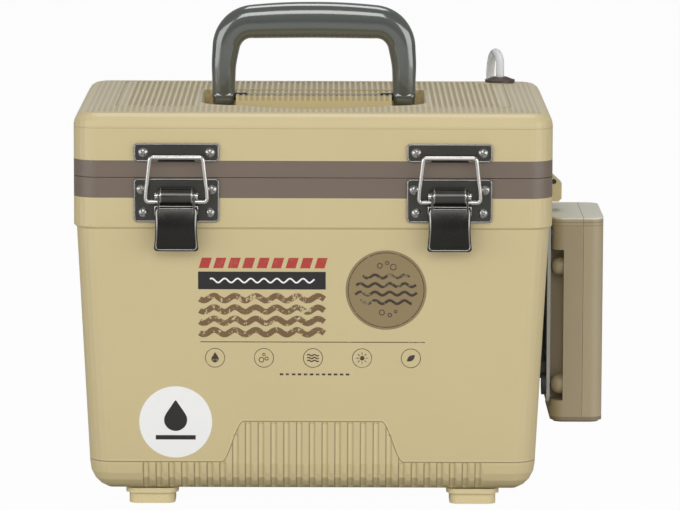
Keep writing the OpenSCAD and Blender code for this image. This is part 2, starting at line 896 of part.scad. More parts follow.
// Black blocks between the sloping wall and the plate
module hanger_pad(z0, z1, w) {
    along_y(-w / 2, w)
        polygon([
            [half_w(z0) + 0.05, z0], [hanger_x - 0.05, z0],
            [hanger_x - 0.05, z1], [half_w(z1) + 0.05, z1]
        ]);
}
module hanger_pads() {
    color([0.08, 0.08, 0.08]) {
        hanger_pad(step_z - 28, step_z - 4, pump_d - 24);
        hanger_pad(pump_z + 31, pump_z + 38, pump_d - 12);
    }
}
module hanger_studs() {
    color([0.1, 0.1, 0.1])
    for (y = [-1, 1]) {
        for (z = stud_z)
            bar_x(hanger_x + 2.5, y * stud_y, z, 1.7, 6.5);
        bar_x(hanger_x - 0.75, y * stud_y, stud_z[1], 5, 1.4);
        bar_x(hanger_x - 1.6, y * stud_y, stud_z[0], 7, 3.1);
    }
}

// ---- Pump ----
pump_x = hanger_x + hanger_t + 0.5;
pump_end = pump_x + pump_w;
seam_x = pump_end - pump_front_w;
shell_low = pump_z + foot_cap_h;
shell_top = pump_z + pump_h - cap_h;
notch_x = 7.8;
notch_y = 13;
module pump2d(inset) {
    translate([pump_x + pump_w / 2, 0])
        plate2d(pump_w - 2 * inset, pump_d - 2 * inset, max(pump_r - inset, 1));
}
// Space cut from the back edges, where the bosses stand
module edge_notch2d(grow) {
    for (y = [-1, 1])
        translate([pump_x - past, y > 0 ? pump_d / 2 - notch_y - grow : -pump_d / 2 - past])
            square([notch_x + past + grow, notch_y + past + grow]);
}
// Places of the four screws that hold the two halves together
case_y = [pump_r - pump_d / 2, pump_d / 2 - pump_r];
case_z = [shell_low + 4.4, shell_top - 5];
notch_low = pump_z + 14;
notch_high = pump_z + 111;
module pump_back_shell() {
    color([0.56, 0.5, 0.4]) {
        difference() {
            translate([0, 0, shell_low])
                linear_extrude(shell_top - shell_low)
                    intersection() {
                        pump2d(0);
                        translate([pump_x - past, -pump_d])
                            square([seam_x - pump_x + past, 2 * pump_d]);
                    }
            translate([0, 0, shell_low - past])
                linear_extrude(shell_top - shell_low + 2 * past)
                    difference() {
                        pump2d(pump_t);
                        edge_notch2d(pump_t);
                    }
            translate([0, 0, notch_low])
                linear_extrude(notch_high - notch_low)
                    edge_notch2d(0);
            bar_y(pump_x + pump_w / 2, pump_d / 2, outlet_z, 3.2, 3 * pump_t);
            for (y = case_y, z = case_z) {
                bar_x(pump_x, y, z, 3.1, 4.4);
                bar_x(pump_x + notch_x, y, z, 1.6, 2 * notch_x);
            }
        }
        for (y = [-1, 1], z = stud_z)
            translate([pump_x, y * stud_y, z])
                rotate([0, 90, 0])
                    difference() {
                        boss(z > stud_z[0] ? 5.6 : 6.4);
                        translate([0, 0, -past])
                            cylinder(r = 1.7 + run, h = 5.5 + past);
                    }
    }
}
// A boss with a domed end towards the box
module boss(r) {
    rotate_extrude()
        intersection() {
            translate([0, r])
                circle(r = r);
            square([r, notch_x + 0.2]);
        }
    translate([0, 0, r])
        cylinder(r = r, h = notch_x + 0.2 - r);
}
module pump_front_shell() {
    post_x = pump_x + notch_x + pump_t + ease;
    post_end = pump_end - pump_t + fuse;
    color([0.62, 0.57, 0.47])
    difference() {
        union() {
            difference() {
                translate([0, 0, shell_low])
                    linear_extrude(shell_top - shell_low)
                        intersection() {
                            pump2d(0);
                            translate([seam_x + 0.2, -pump_d])
                                square([pump_w, 2 * pump_d]);
                        }
                translate([0, 0, shell_low - past])
                    linear_extrude(shell_top - shell_low + 2 * past)
                        pump2d(pump_t);
            }
            for (y = case_y, z = case_z)
                bar_x((post_x + post_end) / 2, y, z, 3.5, post_end - post_x);
        }
        bar_x(pump_end, 0, button_z, button_r + 0.1, 4 * pump_t);
        for (y = case_y, z = case_z)
            bar_x((post_x + seam_x) / 2, y, z, 1.45, seam_x - post_x + 2);
    }
}
button_r = 6;
button_z = pump_z + 106;
button_travel = 1.5;
module pump_switch_button() {
    wall = pump_end - pump_t;
    color([0.12, 0.12, 0.12]) {
        bar_x((wall - ease - 0.1 + pump_end) / 2, 0, button_z, button_r, pump_t + ease + 0.1);
        bar_x(wall - ease - 0.75, 0, button_z, button_r + 1.4, 1.5);
    }
}
module pump_top_cap() {
    color([0.68, 0.68, 0.63])
    difference() {
        translate([0, 0, shell_top])
            linear_extrude(cap_h)
                pump2d(0);
        translate([0, 0, shell_top - past])
            linear_extrude(cap_h - 2 + past)
                pump2d(pump_t);
    }
}
module pump_foot_cap() {
    color([0.56, 0.5, 0.4]) {
        translate([0, 0, pump_z + 1.2])
            linear_extrude(foot_cap_h - 1.2)
                pump2d(0);
        translate([0, 0, pump_z])
            linear_extrude(1.2)
                pump2d(2);
    }
}
cell_r = 13.1;
cell_h = 48.5;
cell_nub_h = 1.5;
core_x = pump_end - pump_t - cell_r - ease;
module battery_cells() {
    color([0.8, 0.65, 0.3])
    for (y = [-1, 1])
        translate([core_x, y * (cell_r + ease), shell_low + ease]) {
            cylinder(r = cell_r, h = cell_h);
            translate([0, 0, cell_h])
                cylinder(r = 3, h = cell_nub_h);
        }
}
motor_r = 12;
motor_h = 30;
shaft_h = 3;
motor_z = shell_low + cell_h + cell_nub_h + 2 * ease;
module pump_motor() {
    color([0.7, 0.7, 0.7]) {
        translate([core_x, 0, motor_z])
            cylinder(r = motor_r, h = motor_h);
        translate([core_x, 0, motor_z + motor_h])
            cylinder(r = 1, h = shaft_h);
    }
}
outlet_z = shell_top - 19.2;
head_z = motor_z + motor_h + shaft_h + ease;
head_w = 16;
head_d = 60;
head_y = 4;
module pump_air_head() {
    color([0.25, 0.25, 0.27])
    translate([core_x + 1.1 - head_w / 2, head_y - head_d / 2, head_z])
        cube([head_w, head_d, shell_top - 10 - head_z]);
}
nipple_l = 9;
module pump_outlet() {
    start = head_y + head_d / 2 + ease;
    color([0.3, 0.3, 0.3])
    translate([pump_x + pump_w / 2, 0, outlet_z])
        rotate([-90, 0, 0]) {
            translate([0, 0, start])
                cylinder(r = 3, h = pump_d / 2 - start + 1.5);
            translate([0, 0, pump_d / 2 + 1.5])
                cylinder(r = 2, h = nipple_l - 1.5);
        }
}
module pump_case_screws() {
    color([0.75, 0.75, 0.75])
    for (y = case_y, z = case_z) {
        bar_x(pump_x + 1.3, y, z, 2.8, 1.6);
        bar_x((pump_x + 2 + seam_x) / 2, y, z, 1.4, seam_x - pump_x - 2);
    }
}

// ---- Air line ----
// Hose from the pump's outlet to the point behind the box where the lid's hose takes over
pump_route = [
    [168, 48.6, 152], [168, 62, 152], [168, 76, 150], [168, 90, 147], [163, 104, 144],
    [153, 113, 141], [141, 118, 140], [130, 120, 144], [123, 121, 153], [120, 121, 165]
];
// From there over the lid's edge, down through the grommet and to the stone on the tub's floor
lid_route = [
    [120, 121, 165], [119, 121, 183], [118, 121, 203], [117, 121, 225], [117, 119, 243],
    [117, 114, 257], [118, 105, 266], [120, 94, 269], [122, 85, 265], [122, 80, 257],
    [122, 80, 251], [122, 80, 241], [121, 77, 227], [120, 74, 211], [119, 72, 196],
    [116, 69, 178], [112, 65, 159], [108, 60, 136], [104, 54, 112], [101, 50, 88], [100, 48, 66], [100, 48, 53]
];
// A point on a smooth curve through four route points
function curve(a, b, c, d, t) = 0.5 * (
    2 * b + (c - a) * t + (2 * a - 5 * b + 4 * c - d) * t * t + (3 * b - a - 3 * c + d) * t * t * t
);
function smoothed(p, k) = [
    for (i = [0:len(p) - 2]) for (j = [0:k - 1])
        curve(p[max(i - 1, 0)], p[i], p[i + 1], p[min(i + 2, len(p) - 1)], j / k),
    p[len(p) - 1]
];
module tube(path, r, n) {
    m = len(path);
    points = [
        for (i = [0:m - 1])
            let (v = path[min(i + 1, m - 1)] - path[max(i - 1, 0)],
                 along = v / norm(v),
                 s0 = cross(along, [0.6, 0.8, 0]),
                 side = s0 / norm(s0),
                 up = cross(along, side))
            for (k = [0:n - 1])
                path[i] + r * (cos(360 * k / n) * side + sin(360 * k / n) * up)
    ];
    sides = [
        for (i = [0:m - 2]) for (k = [0:n - 1])
            let (a = i * n + k, b = i * n + (k + 1) % n)
            each [[a, b + n, b], [a, a + n, b + n]]
    ];
    polyhedron(
        points = points,
        faces = concat([[for (k = [0:n - 1]) k]], sides, [[for (k = [n - 1:-1:0]) (m - 1) * n + k]]),
        convexity = 8
    );
}
module hose_grommet() {
    color([0.12, 0.11, 0.1])
    translate([grommet_x, grommet_y, 0])
        difference() {
            union() {
                translate([0, 0, top_z + 0.1])
                    cylinder(r = grommet_r, h = 1.6);
                translate([0, 0, top_z + 1.7])
                    cylinder(r1 = grommet_r - 0.6, r2 = hose_r + 2, h = 1.8);
                translate([0, 0, top_z - shell_t - 1])
                    cylinder(r = grommet_r - 2.7, h = shell_t + 1.2);
            }
            translate([0, 0, top_z - shell_t - 2])
                cylinder(r = hose_r + 0.3, h = shell_t + 8);
        }
}
module air_hose_pump_end() {
    color([0.85, 0.88, 0.88])
    tube(smoothed(pump_route, 3), hose_r, 8);
}
module air_hose_lid_end() {
    color([0.85, 0.88, 0.88])
    tube(smoothed(lid_route, 2), hose_r, 8);
}
stone_r = 6.5;
module air_stone() {
    color([0.6, 0.62, 0.66])
    translate([100, 48, liner_floor_z + 0.3]) {
        cylinder(r = stone_r, h = 19);
        translate([0, 0, 19])
            cylinder(r = 2.2, h = 3.7);
    }
}

outer_shell();
body_foam();
inner_liner();
base_trim_band();
feet();
lid_shell();
lid_foam();
lid_trim_band();
lid_inner_panel();
lid_gasket();
base_hinge_leaves();
lid_hinge_leaves();
hinge_pins();
carry_handle();
handle_pivot_pins();
latch_plate_left();
latch_plate_right();
latch_pin_left();
latch_pin_right();
lever_left();
lever_right();
bail_left();
bail_right();
strike_left();
strike_right();
latch_screws();
strike_screws();
pump_lug();
pump_lug_pin();
hanger_plate();
hanger_pads();
hanger_studs();
pump_back_shell();
pump_front_shell();
pump_top_cap();
pump_foot_cap();
pump_switch_button();
battery_cells();
pump_motor();
pump_air_head();
pump_outlet();
pump_case_screws();
hose_grommet();
air_hose_pump_end();
air_hose_lid_end();
air_stone();
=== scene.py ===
"""Looks of the aerated bait bucket: materials, hose, wires, screw heads, prints, floor, light and camera."""

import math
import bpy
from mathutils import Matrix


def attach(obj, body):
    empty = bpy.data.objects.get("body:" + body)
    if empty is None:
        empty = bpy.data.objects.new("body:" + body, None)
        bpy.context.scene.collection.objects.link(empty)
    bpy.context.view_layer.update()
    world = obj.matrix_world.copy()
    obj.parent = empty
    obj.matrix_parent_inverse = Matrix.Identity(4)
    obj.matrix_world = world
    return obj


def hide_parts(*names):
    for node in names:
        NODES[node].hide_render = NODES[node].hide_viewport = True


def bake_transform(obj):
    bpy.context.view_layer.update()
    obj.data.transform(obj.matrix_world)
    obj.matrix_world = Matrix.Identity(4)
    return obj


bl_info = {
    "name": "Aerated Bait Bucket",
    "version": (1, 0, 0),
    "blender": (4, 5, 0),
    "location": "3D View > Sidebar > Bait Bucket",
    "description": "Dresses the packed bait bucket with finishes, hose, wires, screws and prints",
    "category": "Object",
}

import bmesh
import bpy
from bpy.props import FloatProperty, FloatVectorProperty, PointerProperty
from mathutils import Matrix, Vector

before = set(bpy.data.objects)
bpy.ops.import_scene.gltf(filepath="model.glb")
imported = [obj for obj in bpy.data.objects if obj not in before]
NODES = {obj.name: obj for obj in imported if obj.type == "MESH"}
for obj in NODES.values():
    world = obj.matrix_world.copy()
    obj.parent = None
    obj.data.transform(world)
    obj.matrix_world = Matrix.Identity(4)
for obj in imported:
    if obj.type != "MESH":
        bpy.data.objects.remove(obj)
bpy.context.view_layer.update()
MM = 0.001


# -------- places taken from the solids, in metres

FLUTE_PITCH, FLUTE_LOW, FLUTE_RISE = 0.008, 0.0292, 0.026
FLUTE_SHOULDER = (0.057, 0.043)
RIB_PITCH = 0.0036
GROMMET = (0.122, 0.08, 0.0)
LID_SCORE_Z, LID_SCORE = 0.2402, 0.00035
CELL_Z = (0.0815, 0.0958)
PUMP_TOP, SEAM_X = 0.1766, 0.1715
WALL_LEAN = math.radians(2.8)
STEP_Z = 0.177
WALL_Y = -0.1033
PIVOT_Z = 0.2492
LATCH_X = 0.0846
PLATE_Y = -0.1062
PIN_Z = 0.1987
BAIL_Y, BAIL_Z = -0.1099, 0.1950
BAR_Y, BAR_Z = -0.1119, 0.2228
STRIKE_Z = 0.2253
LEVER_HALF = 0.0134
LEAF_LEAN = math.radians(38)
PUMP_ROUTE = [
    (168, 48.6, 152), (168, 62, 152), (168, 76, 150), (168, 90, 147), (163, 104, 144),
    (153, 113, 141), (141, 118, 140), (130, 120, 144), (123, 121, 153), (120, 121, 165),
]
LID_ROUTE = [
    (120, 121, 165), (119, 121, 183), (118, 121, 203), (117, 121, 225), (117, 119, 243),
    (117, 114, 257), (118, 105, 266), (120, 94, 269), (122, 85, 265), (122, 80, 257),
    (122, 80, 251), (122, 80, 241), (121, 77, 227), (120, 74, 211), (119, 72, 196),
    (116, 69, 178), (112, 65, 159), (108, 60, 136), (104, 54, 112), (101, 50, 88), (100, 48, 66), (100, 48, 53),
]


# -------- settings


def tint(label, text, value):
    return FloatVectorProperty(
        name=label, description=text, subtype="COLOR", size=3, min=0.0, max=1.0, default=value
    )


def measure(label, text, value, low, high):
    return FloatProperty(
        name=label, description=text, subtype="DISTANCE", unit="LENGTH", min=low, max=high, default=value
    )


def plain(label, text, value, low, high):
    return FloatProperty(name=label, description=text, min=low, max=high, default=value)


def turned(label, text, degrees):
    return FloatProperty(
        name=label, description=text, subtype="ANGLE", unit="ROTATION", default=math.radians(degrees)
    )


class BucketColours(bpy.types.PropertyGroup):
    """Colours of the bucket's finishes."""

    tan: tint("Tan", "Colour of the box, the lid and the lug", (0.60, 0.50, 0.275))
    taupe: tint("Taupe", "Colour of the two trim bands", (0.175, 0.135, 0.105))
    liner: tint("Liner", "Colour of the tub and the lid's inner panel", (0.78, 0.76, 0.70))
    handle: tint("Handle", "Colour of the carry handle", (0.066, 0.075, 0.068))
    latch: tint("Latch steel", "Colour of the darkened stainless latches", (0.10, 0.098, 0.09))
    bright: tint("Bright steel", "Colour of screws and pins", (0.62, 0.61, 0.58))
    # The inner half is a darker copy of the outer half's colour: painted shade on the side that faces the box.
    pump_back: tint("Pump, inner half", "Colour of the pump's inner shell", (0.36, 0.295, 0.185))
    pump_front: tint("Pump, outer half", "Colour of the pump's outer shell", (0.40, 0.332, 0.208))
    # Painted light: the cap's top is this paler grey to stand for the light that falls on its top face.
    pump_cap: tint("Pump cap", "Colour of the pump's top cap", (0.74, 0.735, 0.63))
    rubber: tint("Rubber", "Colour of the black rubber parts", (0.022, 0.021, 0.020))
    badge: tint("Badge", "Colour of the round badge", (0.26, 0.195, 0.095))
    ink: tint("Ink", "Colour of the dark print", (0.045, 0.030, 0.022))
    accent: tint("Accent", "Colour of the warm print", (0.42, 0.045, 0.035))


class BucketSizes(bpy.types.PropertyGroup):
    """Sizes of what is added to the solids."""

    hose_d: measure("Hose", "Outside diameter of the air hose", 0.0054, 0.004, 0.006)
    wire_d: measure("Latch wire", "Diameter of the bails' wire", 0.0027, 0.002, 0.003)
    badge_r: measure("Badge radius", "Radius of the round badge", 0.0252, 0.015, 0.03)
    sticker_r: measure("Sticker radius", "Radius of the round sticker", 0.0228, 0.015, 0.03)
    ring_r: measure("Ring radius", "Radius of each printed ring", 0.0062, 0.004, 0.008)
    edge: measure("Edge", "Rounding of the plastic parts' sharp edges", 0.0006, 0.0001, 0.002)


class BucketView(bpy.types.PropertyGroup):
    """The camera and the light."""

    camera_x: measure("Camera right", "Camera's place to the right of the middle", 0.0106, -5.0, 5.0)
    camera_y: measure("Camera back", "Camera's place behind the middle", -2.9614, -20.0, 20.0)
    camera_z: measure("Camera height", "Camera's height above the floor", 0.5578, 0.0, 10.0)
    pitch: turned("Pitch", "How far the camera looks down", 7.9)
    yaw: turned("Yaw", "How far the camera turns to the left", -0.125)
    roll: turned("Roll", "How far the camera leans", 0.192)
    lens: plain("Lens", "Focal length in millimetres for a 36 mm wide sensor", 245.9, 20.0, 500.0)
    key: plain("Key light", "Power of the main soft light, in watts", 12.0, 0.0, 1000.0)
    fill: plain("Fill light", "Power of the two side lights, in watts", 16.0, 0.0, 1000.0)
    sky: plain("Sky", "Strength of the even light from all round", 0.26, 0.0, 2.0)


def colours():
    return bpy.context.scene.bucket_colours


def sizes():
    return bpy.context.scene.bucket_sizes


def look():
    return bpy.context.scene.bucket_view


# -------- shared effects


class Web:
    """Short calls that add and join a node tree's nodes."""

    def __init__(self, tree):
        self.tree = tree

    def add(self, kind, **settings):
        node = self.tree.nodes.new(kind)
        for key, value in settings.items():
            setattr(node, key, value)
        return node

    def join(self, source, target):
        self.tree.links.new(source, target)

    def feed(self, target, value):
        if isinstance(value, bpy.types.NodeSocket):
            self.join(value, target)
        else:
            target.default_value = value

    def set(self, node, **values):
        """Joins or sets a node's inputs by name, and gives its outputs."""
        for key, value in values.items():
            self.feed(node.inputs[key.replace("_", " ")], value)
        return node.outputs

    def fill(self, node, *values):
        """Joins or sets a node's inputs in order, and gives its first output."""
        for place, value in zip(node.inputs, values):
            self.feed(place, value)
        return node.outputs[0]

    def maths(self, kind, a, b=0.0, c=0.0):
        return self.fill(self.add("ShaderNodeMath", operation=kind), a, b, c)

    def plus(self, a, b):
        return self.maths("ADD", a, b)

    def minus(self, a, b):
        return self.maths("SUBTRACT", a, b)

    def times(self, a, b):
        return self.maths("MULTIPLY", a, b)

    def most(self, a, b):
        return self.maths("MAXIMUM", a, b)

    def size(self, a):
        return self.maths("ABSOLUTE", a)

    def ramp(self, value, low, high, out_low=0.0, out_high=1.0, kind="SMOOTHSTEP"):
        node = self.add("ShaderNodeMapRange", interpolation_type=kind, clamp=True)
        return self.fill(node, value, low, high, out_low, out_high)

    def mix(self, factor, a, b):
        node = self.add("ShaderNodeMix", data_type="RGBA")
        for name, value in (("Factor", factor), ("A", a), ("B", b)):
            self.feed(node.inputs[name], value)
        return node.outputs["Result"]

    def noise(self, vector, scale, detail=2.0, rough=0.5):
        node = self.add("ShaderNodeTexNoise")
        return self.set(node, Vector=vector, Scale=scale, Detail=detail, Roughness=rough)["Fac"]

    def cells(self, vector, scale):
        """Distance from the middle of small rounded cells."""
        return self.set(self.add("ShaderNodeTexVoronoi"), Vector=vector, Scale=scale)["Distance"]

    def mapped(self, vector, **setting):
        """The vector, turned or stretched."""
        return self.set(self.add("ShaderNodeMapping"), Vector=vector, **setting)["Vector"]

    def scaled(self, vector, scale):
        node = self.add("ShaderNodeVectorMath", operation="SCALE")
        return self.set(node, Vector=vector, Scale=scale)[0]

    def split(self, vector):
        return self.set(self.add("ShaderNodeSeparateXYZ"), Vector=vector)


SOCKETS = {"Vector": "NodeSocketVector", "Colour": "NodeSocketColor"}
GREY = (0.5, 0.5, 0.5, 1.0)


def new_group(name, inputs, outputs):
    """A shader node group with named sockets; inputs give their defaults, and most sockets are numbers."""
    group = bpy.data.node_groups.new(name, "ShaderNodeTree")
    for label, value in inputs.items():
        kind = SOCKETS.get(label, "NodeSocketFloat")
        made = group.interface.new_socket(name=label, in_out="INPUT", socket_type=kind)
        if value is not None:
            made.default_value = value
    for label in outputs:
        kind = SOCKETS.get(label, "NodeSocketFloat")
        group.interface.new_socket(name=label, in_out="OUTPUT", socket_type=kind)
    web = Web(group)
    return web, web.add("NodeGroupInput").outputs, web.add("NodeGroupOutput").inputs


def make_mottle():
    """Soft, broad unevenness of a moulded or painted colour, and the fine grain of its surface."""
    inputs = {"Vector": None, "Colour": GREY, "Unevenness": 0.05, "Grain size": 0.0006, "Roughness": 0.4}
    web, start, end = new_group("moulded_surface", inputs, ("Colour", "Roughness", "Height"))
    place, uneven = start["Vector"], start["Unevenness"]
    broad = web.noise(place, 9.0, 3.0, 0.55)
    fine = web.noise(place, web.maths("DIVIDE", 1.0, start["Grain size"]), 2.0, 0.6)
    speck = web.noise(place, web.maths("DIVIDE", 0.35, start["Grain size"]), 1.0, 0.5)
    swing = web.times(web.minus(broad, 0.5), uneven)
    grainy = web.times(web.minus(fine, 0.5), web.times(uneven, 0.5))
    level = web.plus(1.0, web.times(web.plus(swing, grainy), 2.0))
    web.join(web.scaled(start["Colour"], level), end["Colour"])
    web.join(web.plus(start["Roughness"], web.times(web.minus(broad, 0.5), 0.12)), end["Roughness"])
    web.join(web.plus(web.times(fine, 0.7), web.times(speck, 0.3)), end["Height"])


def make_brushing():
    """Fine parallel scratches of brushed metal, along X."""
    inputs = {"Vector": None, "Colour": GREY, "Roughness": 0.3}
    web, start, end = new_group("brushing", inputs, ("Colour", "Roughness", "Height"))
    drawn = web.mapped(start["Vector"], Scale=(60.0, 4000.0, 4000.0))
    lines = web.noise(drawn, 1.0, 3.0, 0.6)
    cloud = web.noise(start["Vector"], 60.0)
    both = web.plus(web.times(lines, 0.7), web.times(cloud, 0.3))
    web.join(web.scaled(start["Colour"], web.plus(0.72, web.times(both, 0.56))), end["Colour"])
    web.join(web.plus(start["Roughness"], web.times(web.minus(both, 0.5), 0.3)), end["Roughness"])
    web.join(lines, end["Height"])


def make_edge_light():
    """A mask that is 1 along sharp outside edges, where a paler colour paints the highlight that the edge catches.
    """
    web, start, end = new_group("edge_mask", {"Width": 0.0008}, ("Mask",))
    rounded = web.set(web.add("ShaderNodeBevel", samples=6), Radius=start["Width"])["Normal"]
    dot = web.add("ShaderNodeVectorMath", operation="DOT_PRODUCT")
    web.fill(dot, rounded, web.add("ShaderNodeNewGeometry").outputs["Normal"])
    web.join(web.ramp(dot.outputs["Value"], 0.985, 0.86), end["Mask"])


def make_score():
    """A thin line round the part at a height: 1 on the line."""
    inputs = {"Vector": None, "Height": 0.2, "Width": 0.0004}
    web, start, end = new_group("mould_line", inputs, ("Mask",))
    away = web.size(web.minus(web.split(start["Vector"])["Z"], start["Height"]))
    web.join(web.ramp(away, start["Width"], web.times(start["Width"], 0.35)), end["Mask"])


def make_flute_painted_light():
    """Painted shade and painted highlight in the flutes of the front and back walls and along the line that runs
    round them, and painted shade towards the wall's bottom edge.
    """
    web, start, end = new_group("flute_painted_light", {"Vector": None}, ("Dark", "Pale"))
    x, y, z = web.split(start["Vector"])
    away = web.size(x)
    rise = web.ramp(away, *FLUTE_SHOULDER)
    gap = web.minus(z, web.maths("MULTIPLY_ADD", rise, FLUTE_RISE, FLUTE_LOW))
    steep = web.times(rise, web.minus(1.0, rise))
    wide = web.maths("MULTIPLY_ADD", steep, 0.004, 0.00045)
    # Painted shade on the line round the flutes, and a painted highlight on the lip just above it.
    line = web.ramp(web.size(gap), wide, web.times(wide, 0.5))
    lip = web.minus(gap, web.times(wide, 1.9))
    bright = web.ramp(web.size(lip), wide, web.times(wide, 0.4))
    inside = web.times(web.ramp(gap, 0.0, -0.0006), web.ramp(away, 0.1085, 0.1075))
    inside = web.times(inside, web.ramp(web.size(y), 0.072, 0.078))
    # Painted shade at both sides of each flute, and a painted highlight inside it.
    turn = web.maths("WRAP", x, FLUTE_PITCH / 2, -FLUTE_PITCH / 2)
    left = web.ramp(web.size(web.plus(turn, 0.0020)), 0.0006, 0.0001)
    right = web.ramp(web.size(web.minus(turn, 0.0013)), 0.0007, 0.0001)
    shine = web.ramp(web.size(web.plus(turn, 0.0006)), 0.0011, 0.0003)
    dark = web.times(web.plus(left, web.times(right, 0.5)), inside)
    # Painted shade: the wall is darker towards its bottom edge, where shade falls by the floor.
    low = web.times(web.ramp(z, 0.0185, 0.0105), 0.5)
    web.join(web.most(web.most(dark, line), low), end["Dark"])
    pale = web.times(web.times(shine, 0.7), inside)
    web.join(web.most(pale, web.times(bright, 0.7)), end["Pale"])


def make_lid_painted_light():
    """Painted shade in the grooves that run from front to back over the lid's top, and a painted highlight on the
    ribs between them.
    """
    web, start, end = new_group("lid_painted_light", {"Vector": None}, ("Dark", "Pale"))
    x, y, z = web.split(start["Vector"])
    turn = web.size(web.maths("WRAP", x, RIB_PITCH / 2, -RIB_PITCH / 2))
    inside = web.times(web.ramp(web.size(x), 0.1412, 0.1402), web.ramp(web.size(y), 0.0972, 0.0962))
    inside = web.times(inside, web.ramp(z, 0.2478, 0.2484))
    from_hole = web.add("ShaderNodeVectorMath", operation="DISTANCE")
    web.fill(from_hole, web.fill(web.add("ShaderNodeCombineXYZ"), x, y), GROMMET)
    inside = web.times(inside, web.ramp(from_hole.outputs["Value"], 0.0135, 0.0142))
    web.join(web.times(web.ramp(turn, 0.0012, 0.0009), inside), end["Dark"])
    web.join(web.times(web.ramp(turn, 0.0013, 0.0016), web.times(inside, 0.4)), end["Pale"])


# -------- finishes


FINISHES = {}


def colour(value, scale=1.0, lift=0.0):
    """A colour for a socket, made darker or paler."""
    return tuple(min(1.0, c * scale + lift) for c in value) + (1.0,)


def blank(name):
    """An empty material with its shader, and the place on the object that every pattern starts from."""
    made = bpy.data.materials.new("look_" + name)
    FINISHES[name] = made
    made.use_nodes = True
    made.node_tree.nodes.clear()
    web = Web(made.node_tree)
    shader = web.add("ShaderNodeBsdfPrincipled")
    web.set(web.add("ShaderNodeOutputMaterial"), Surface=shader.outputs[0])
    return web, shader, web.add("ShaderNodeTexCoord").outputs["Object"]


def use(web, name, **values):
    """One of the shared effects, with this material's own values."""
    return web.set(web.add("ShaderNodeGroup", node_tree=bpy.data.node_groups[name]), **values)


def bump(web, shader, height, strength, distance):
    out = web.set(web.add("ShaderNodeBump"), Strength=strength, Distance=distance, Height=height)
    web.set(shader, Normal=out["Normal"])


def plastic(
    name, value, rough=0.42, grain=0.0006, relief=0.25, uneven=0.04, painted_edge_light=0.12,
    lines=(), marks="", depth=0.75, coat=0.0, sheen=0.0,
):
    """Moulded plastic or rubber: grain, unevenness, edges made paler as a painted highlight, mould lines at
    heights, and a group of painted shade and painted highlight.
    """
    web, shader, where = blank(name)
    face = use(
        web, "moulded_surface",
        Vector=where, Colour=colour(value), Unevenness=uneven, Grain_size=grain, Roughness=rough,
    )
    tone, height = face["Colour"], face["Height"]
    # Painted highlight: the edges are made paler where they would catch the light.
    if painted_edge_light:
        edge = use(web, "edge_mask", Width=0.0009)
        tone = web.mix(web.times(edge["Mask"], painted_edge_light * 4), tone, colour(value, 1.25, 0.02))
    for z, width in lines:
        line = use(web, "mould_line", Vector=where, Height=z, Width=width)
        tone = web.mix(web.times(line["Mask"], 0.4), tone, colour(value, 0.45))
        height = web.minus(height, web.times(line["Mask"], 3.0))
    # The marks group gives painted shade (Dark), which darkens the colour, and painted highlight (Pale), which
    # lightens it.
    if marks:
        shade = use(web, marks, Vector=where)
        tone = web.mix(web.times(shade["Dark"], depth), tone, colour(value, 0.3))
        tone = web.mix(web.times(shade["Pale"], 0.5), tone, colour(value, 1.3))
        height = web.minus(height, web.times(shade["Dark"], 2.0))
    web.set(shader, Base_Color=tone, Roughness=face["Roughness"], Sheen_Weight=sheen, Sheen_Roughness=0.35)
    web.set(shader, Coat_Weight=coat, Coat_IOR=1.9, Coat_Roughness=0.07)
    bump(web, shader, height, relief, 0.0001)


def pump_lid(name, value, side):
    """The pump's cap: a paler grey on top that paints the light falling on its top face, the shell's colour on its
    sides, the shells' seam across it, and two dark lines below the top, a joint and painted shade under the
    rounding.
    """
    web, shader, where = blank(name)
    x, _, z = web.split(where)
    face = use(
        web, "moulded_surface",
        Vector=where, Colour=colour(value), Unevenness=0.04, Grain_size=0.0006, Roughness=0.42,
    )
    # Painted light: the top face takes the paler cap colour for the light that falls on it, and the sides keep the
    # shell's colour.
    tone = web.mix(web.ramp(z, PUMP_TOP - 0.0014, PUMP_TOP - 0.0006), colour(side), face["Colour"])
    # Dark lines: the seam and the lower line are joints; the upper line, 3 mm below the top, is painted shade under
    # the top's rounding.
    dark = web.ramp(web.size(web.minus(x, SEAM_X)), 0.0004, 0.0001)
    for drop in (0.0030, 0.0052):
        line = web.ramp(web.size(web.minus(z, PUMP_TOP - drop)), 0.0004, 0.0001)
        dark = web.most(dark, line)
    tone = web.mix(web.times(dark, 0.6), tone, colour(side, 0.3))
    web.set(shader, Base_Color=tone, Roughness=face["Roughness"])
    bump(web, shader, web.minus(face["Height"], web.times(dark, 2.0)), 0.3, 0.0001)


def metal(name, value, rough=0.3, relief=0.15, edge_highlight=None, edge_width=0.0006, upright=False):
    """Brushed steel, drawn along X or upright, with brighter edges that paint the highlights the edges catch."""
    web, shader, where = blank(name)
    if upright:
        where = web.mapped(where, Rotation=(0.0, math.radians(90), 0.0))
    face = use(web, "brushing", Vector=where, Colour=colour(value), Roughness=rough)
    tone = face["Colour"]
    if edge_highlight:
        edge = use(web, "edge_mask", Width=edge_width)
        tone = web.mix(edge["Mask"], tone, colour(edge_highlight))
    web.set(shader, Base_Color=tone, Roughness=face["Roughness"], Metallic=1.0)
    bump(web, shader, face["Height"], relief, 0.00005)


def foam(name, value):
    """Cut foam with small cells."""
    web, shader, where = blank(name)
    cells = web.cells(where, 700.0)
    tone = web.mix(web.ramp(cells, 0.0, 0.8), colour(value, 0.8), colour(value))
    web.set(shader, Base_Color=tone, Roughness=0.85)
    bump(web, shader, cells, 0.5, 0.0005)


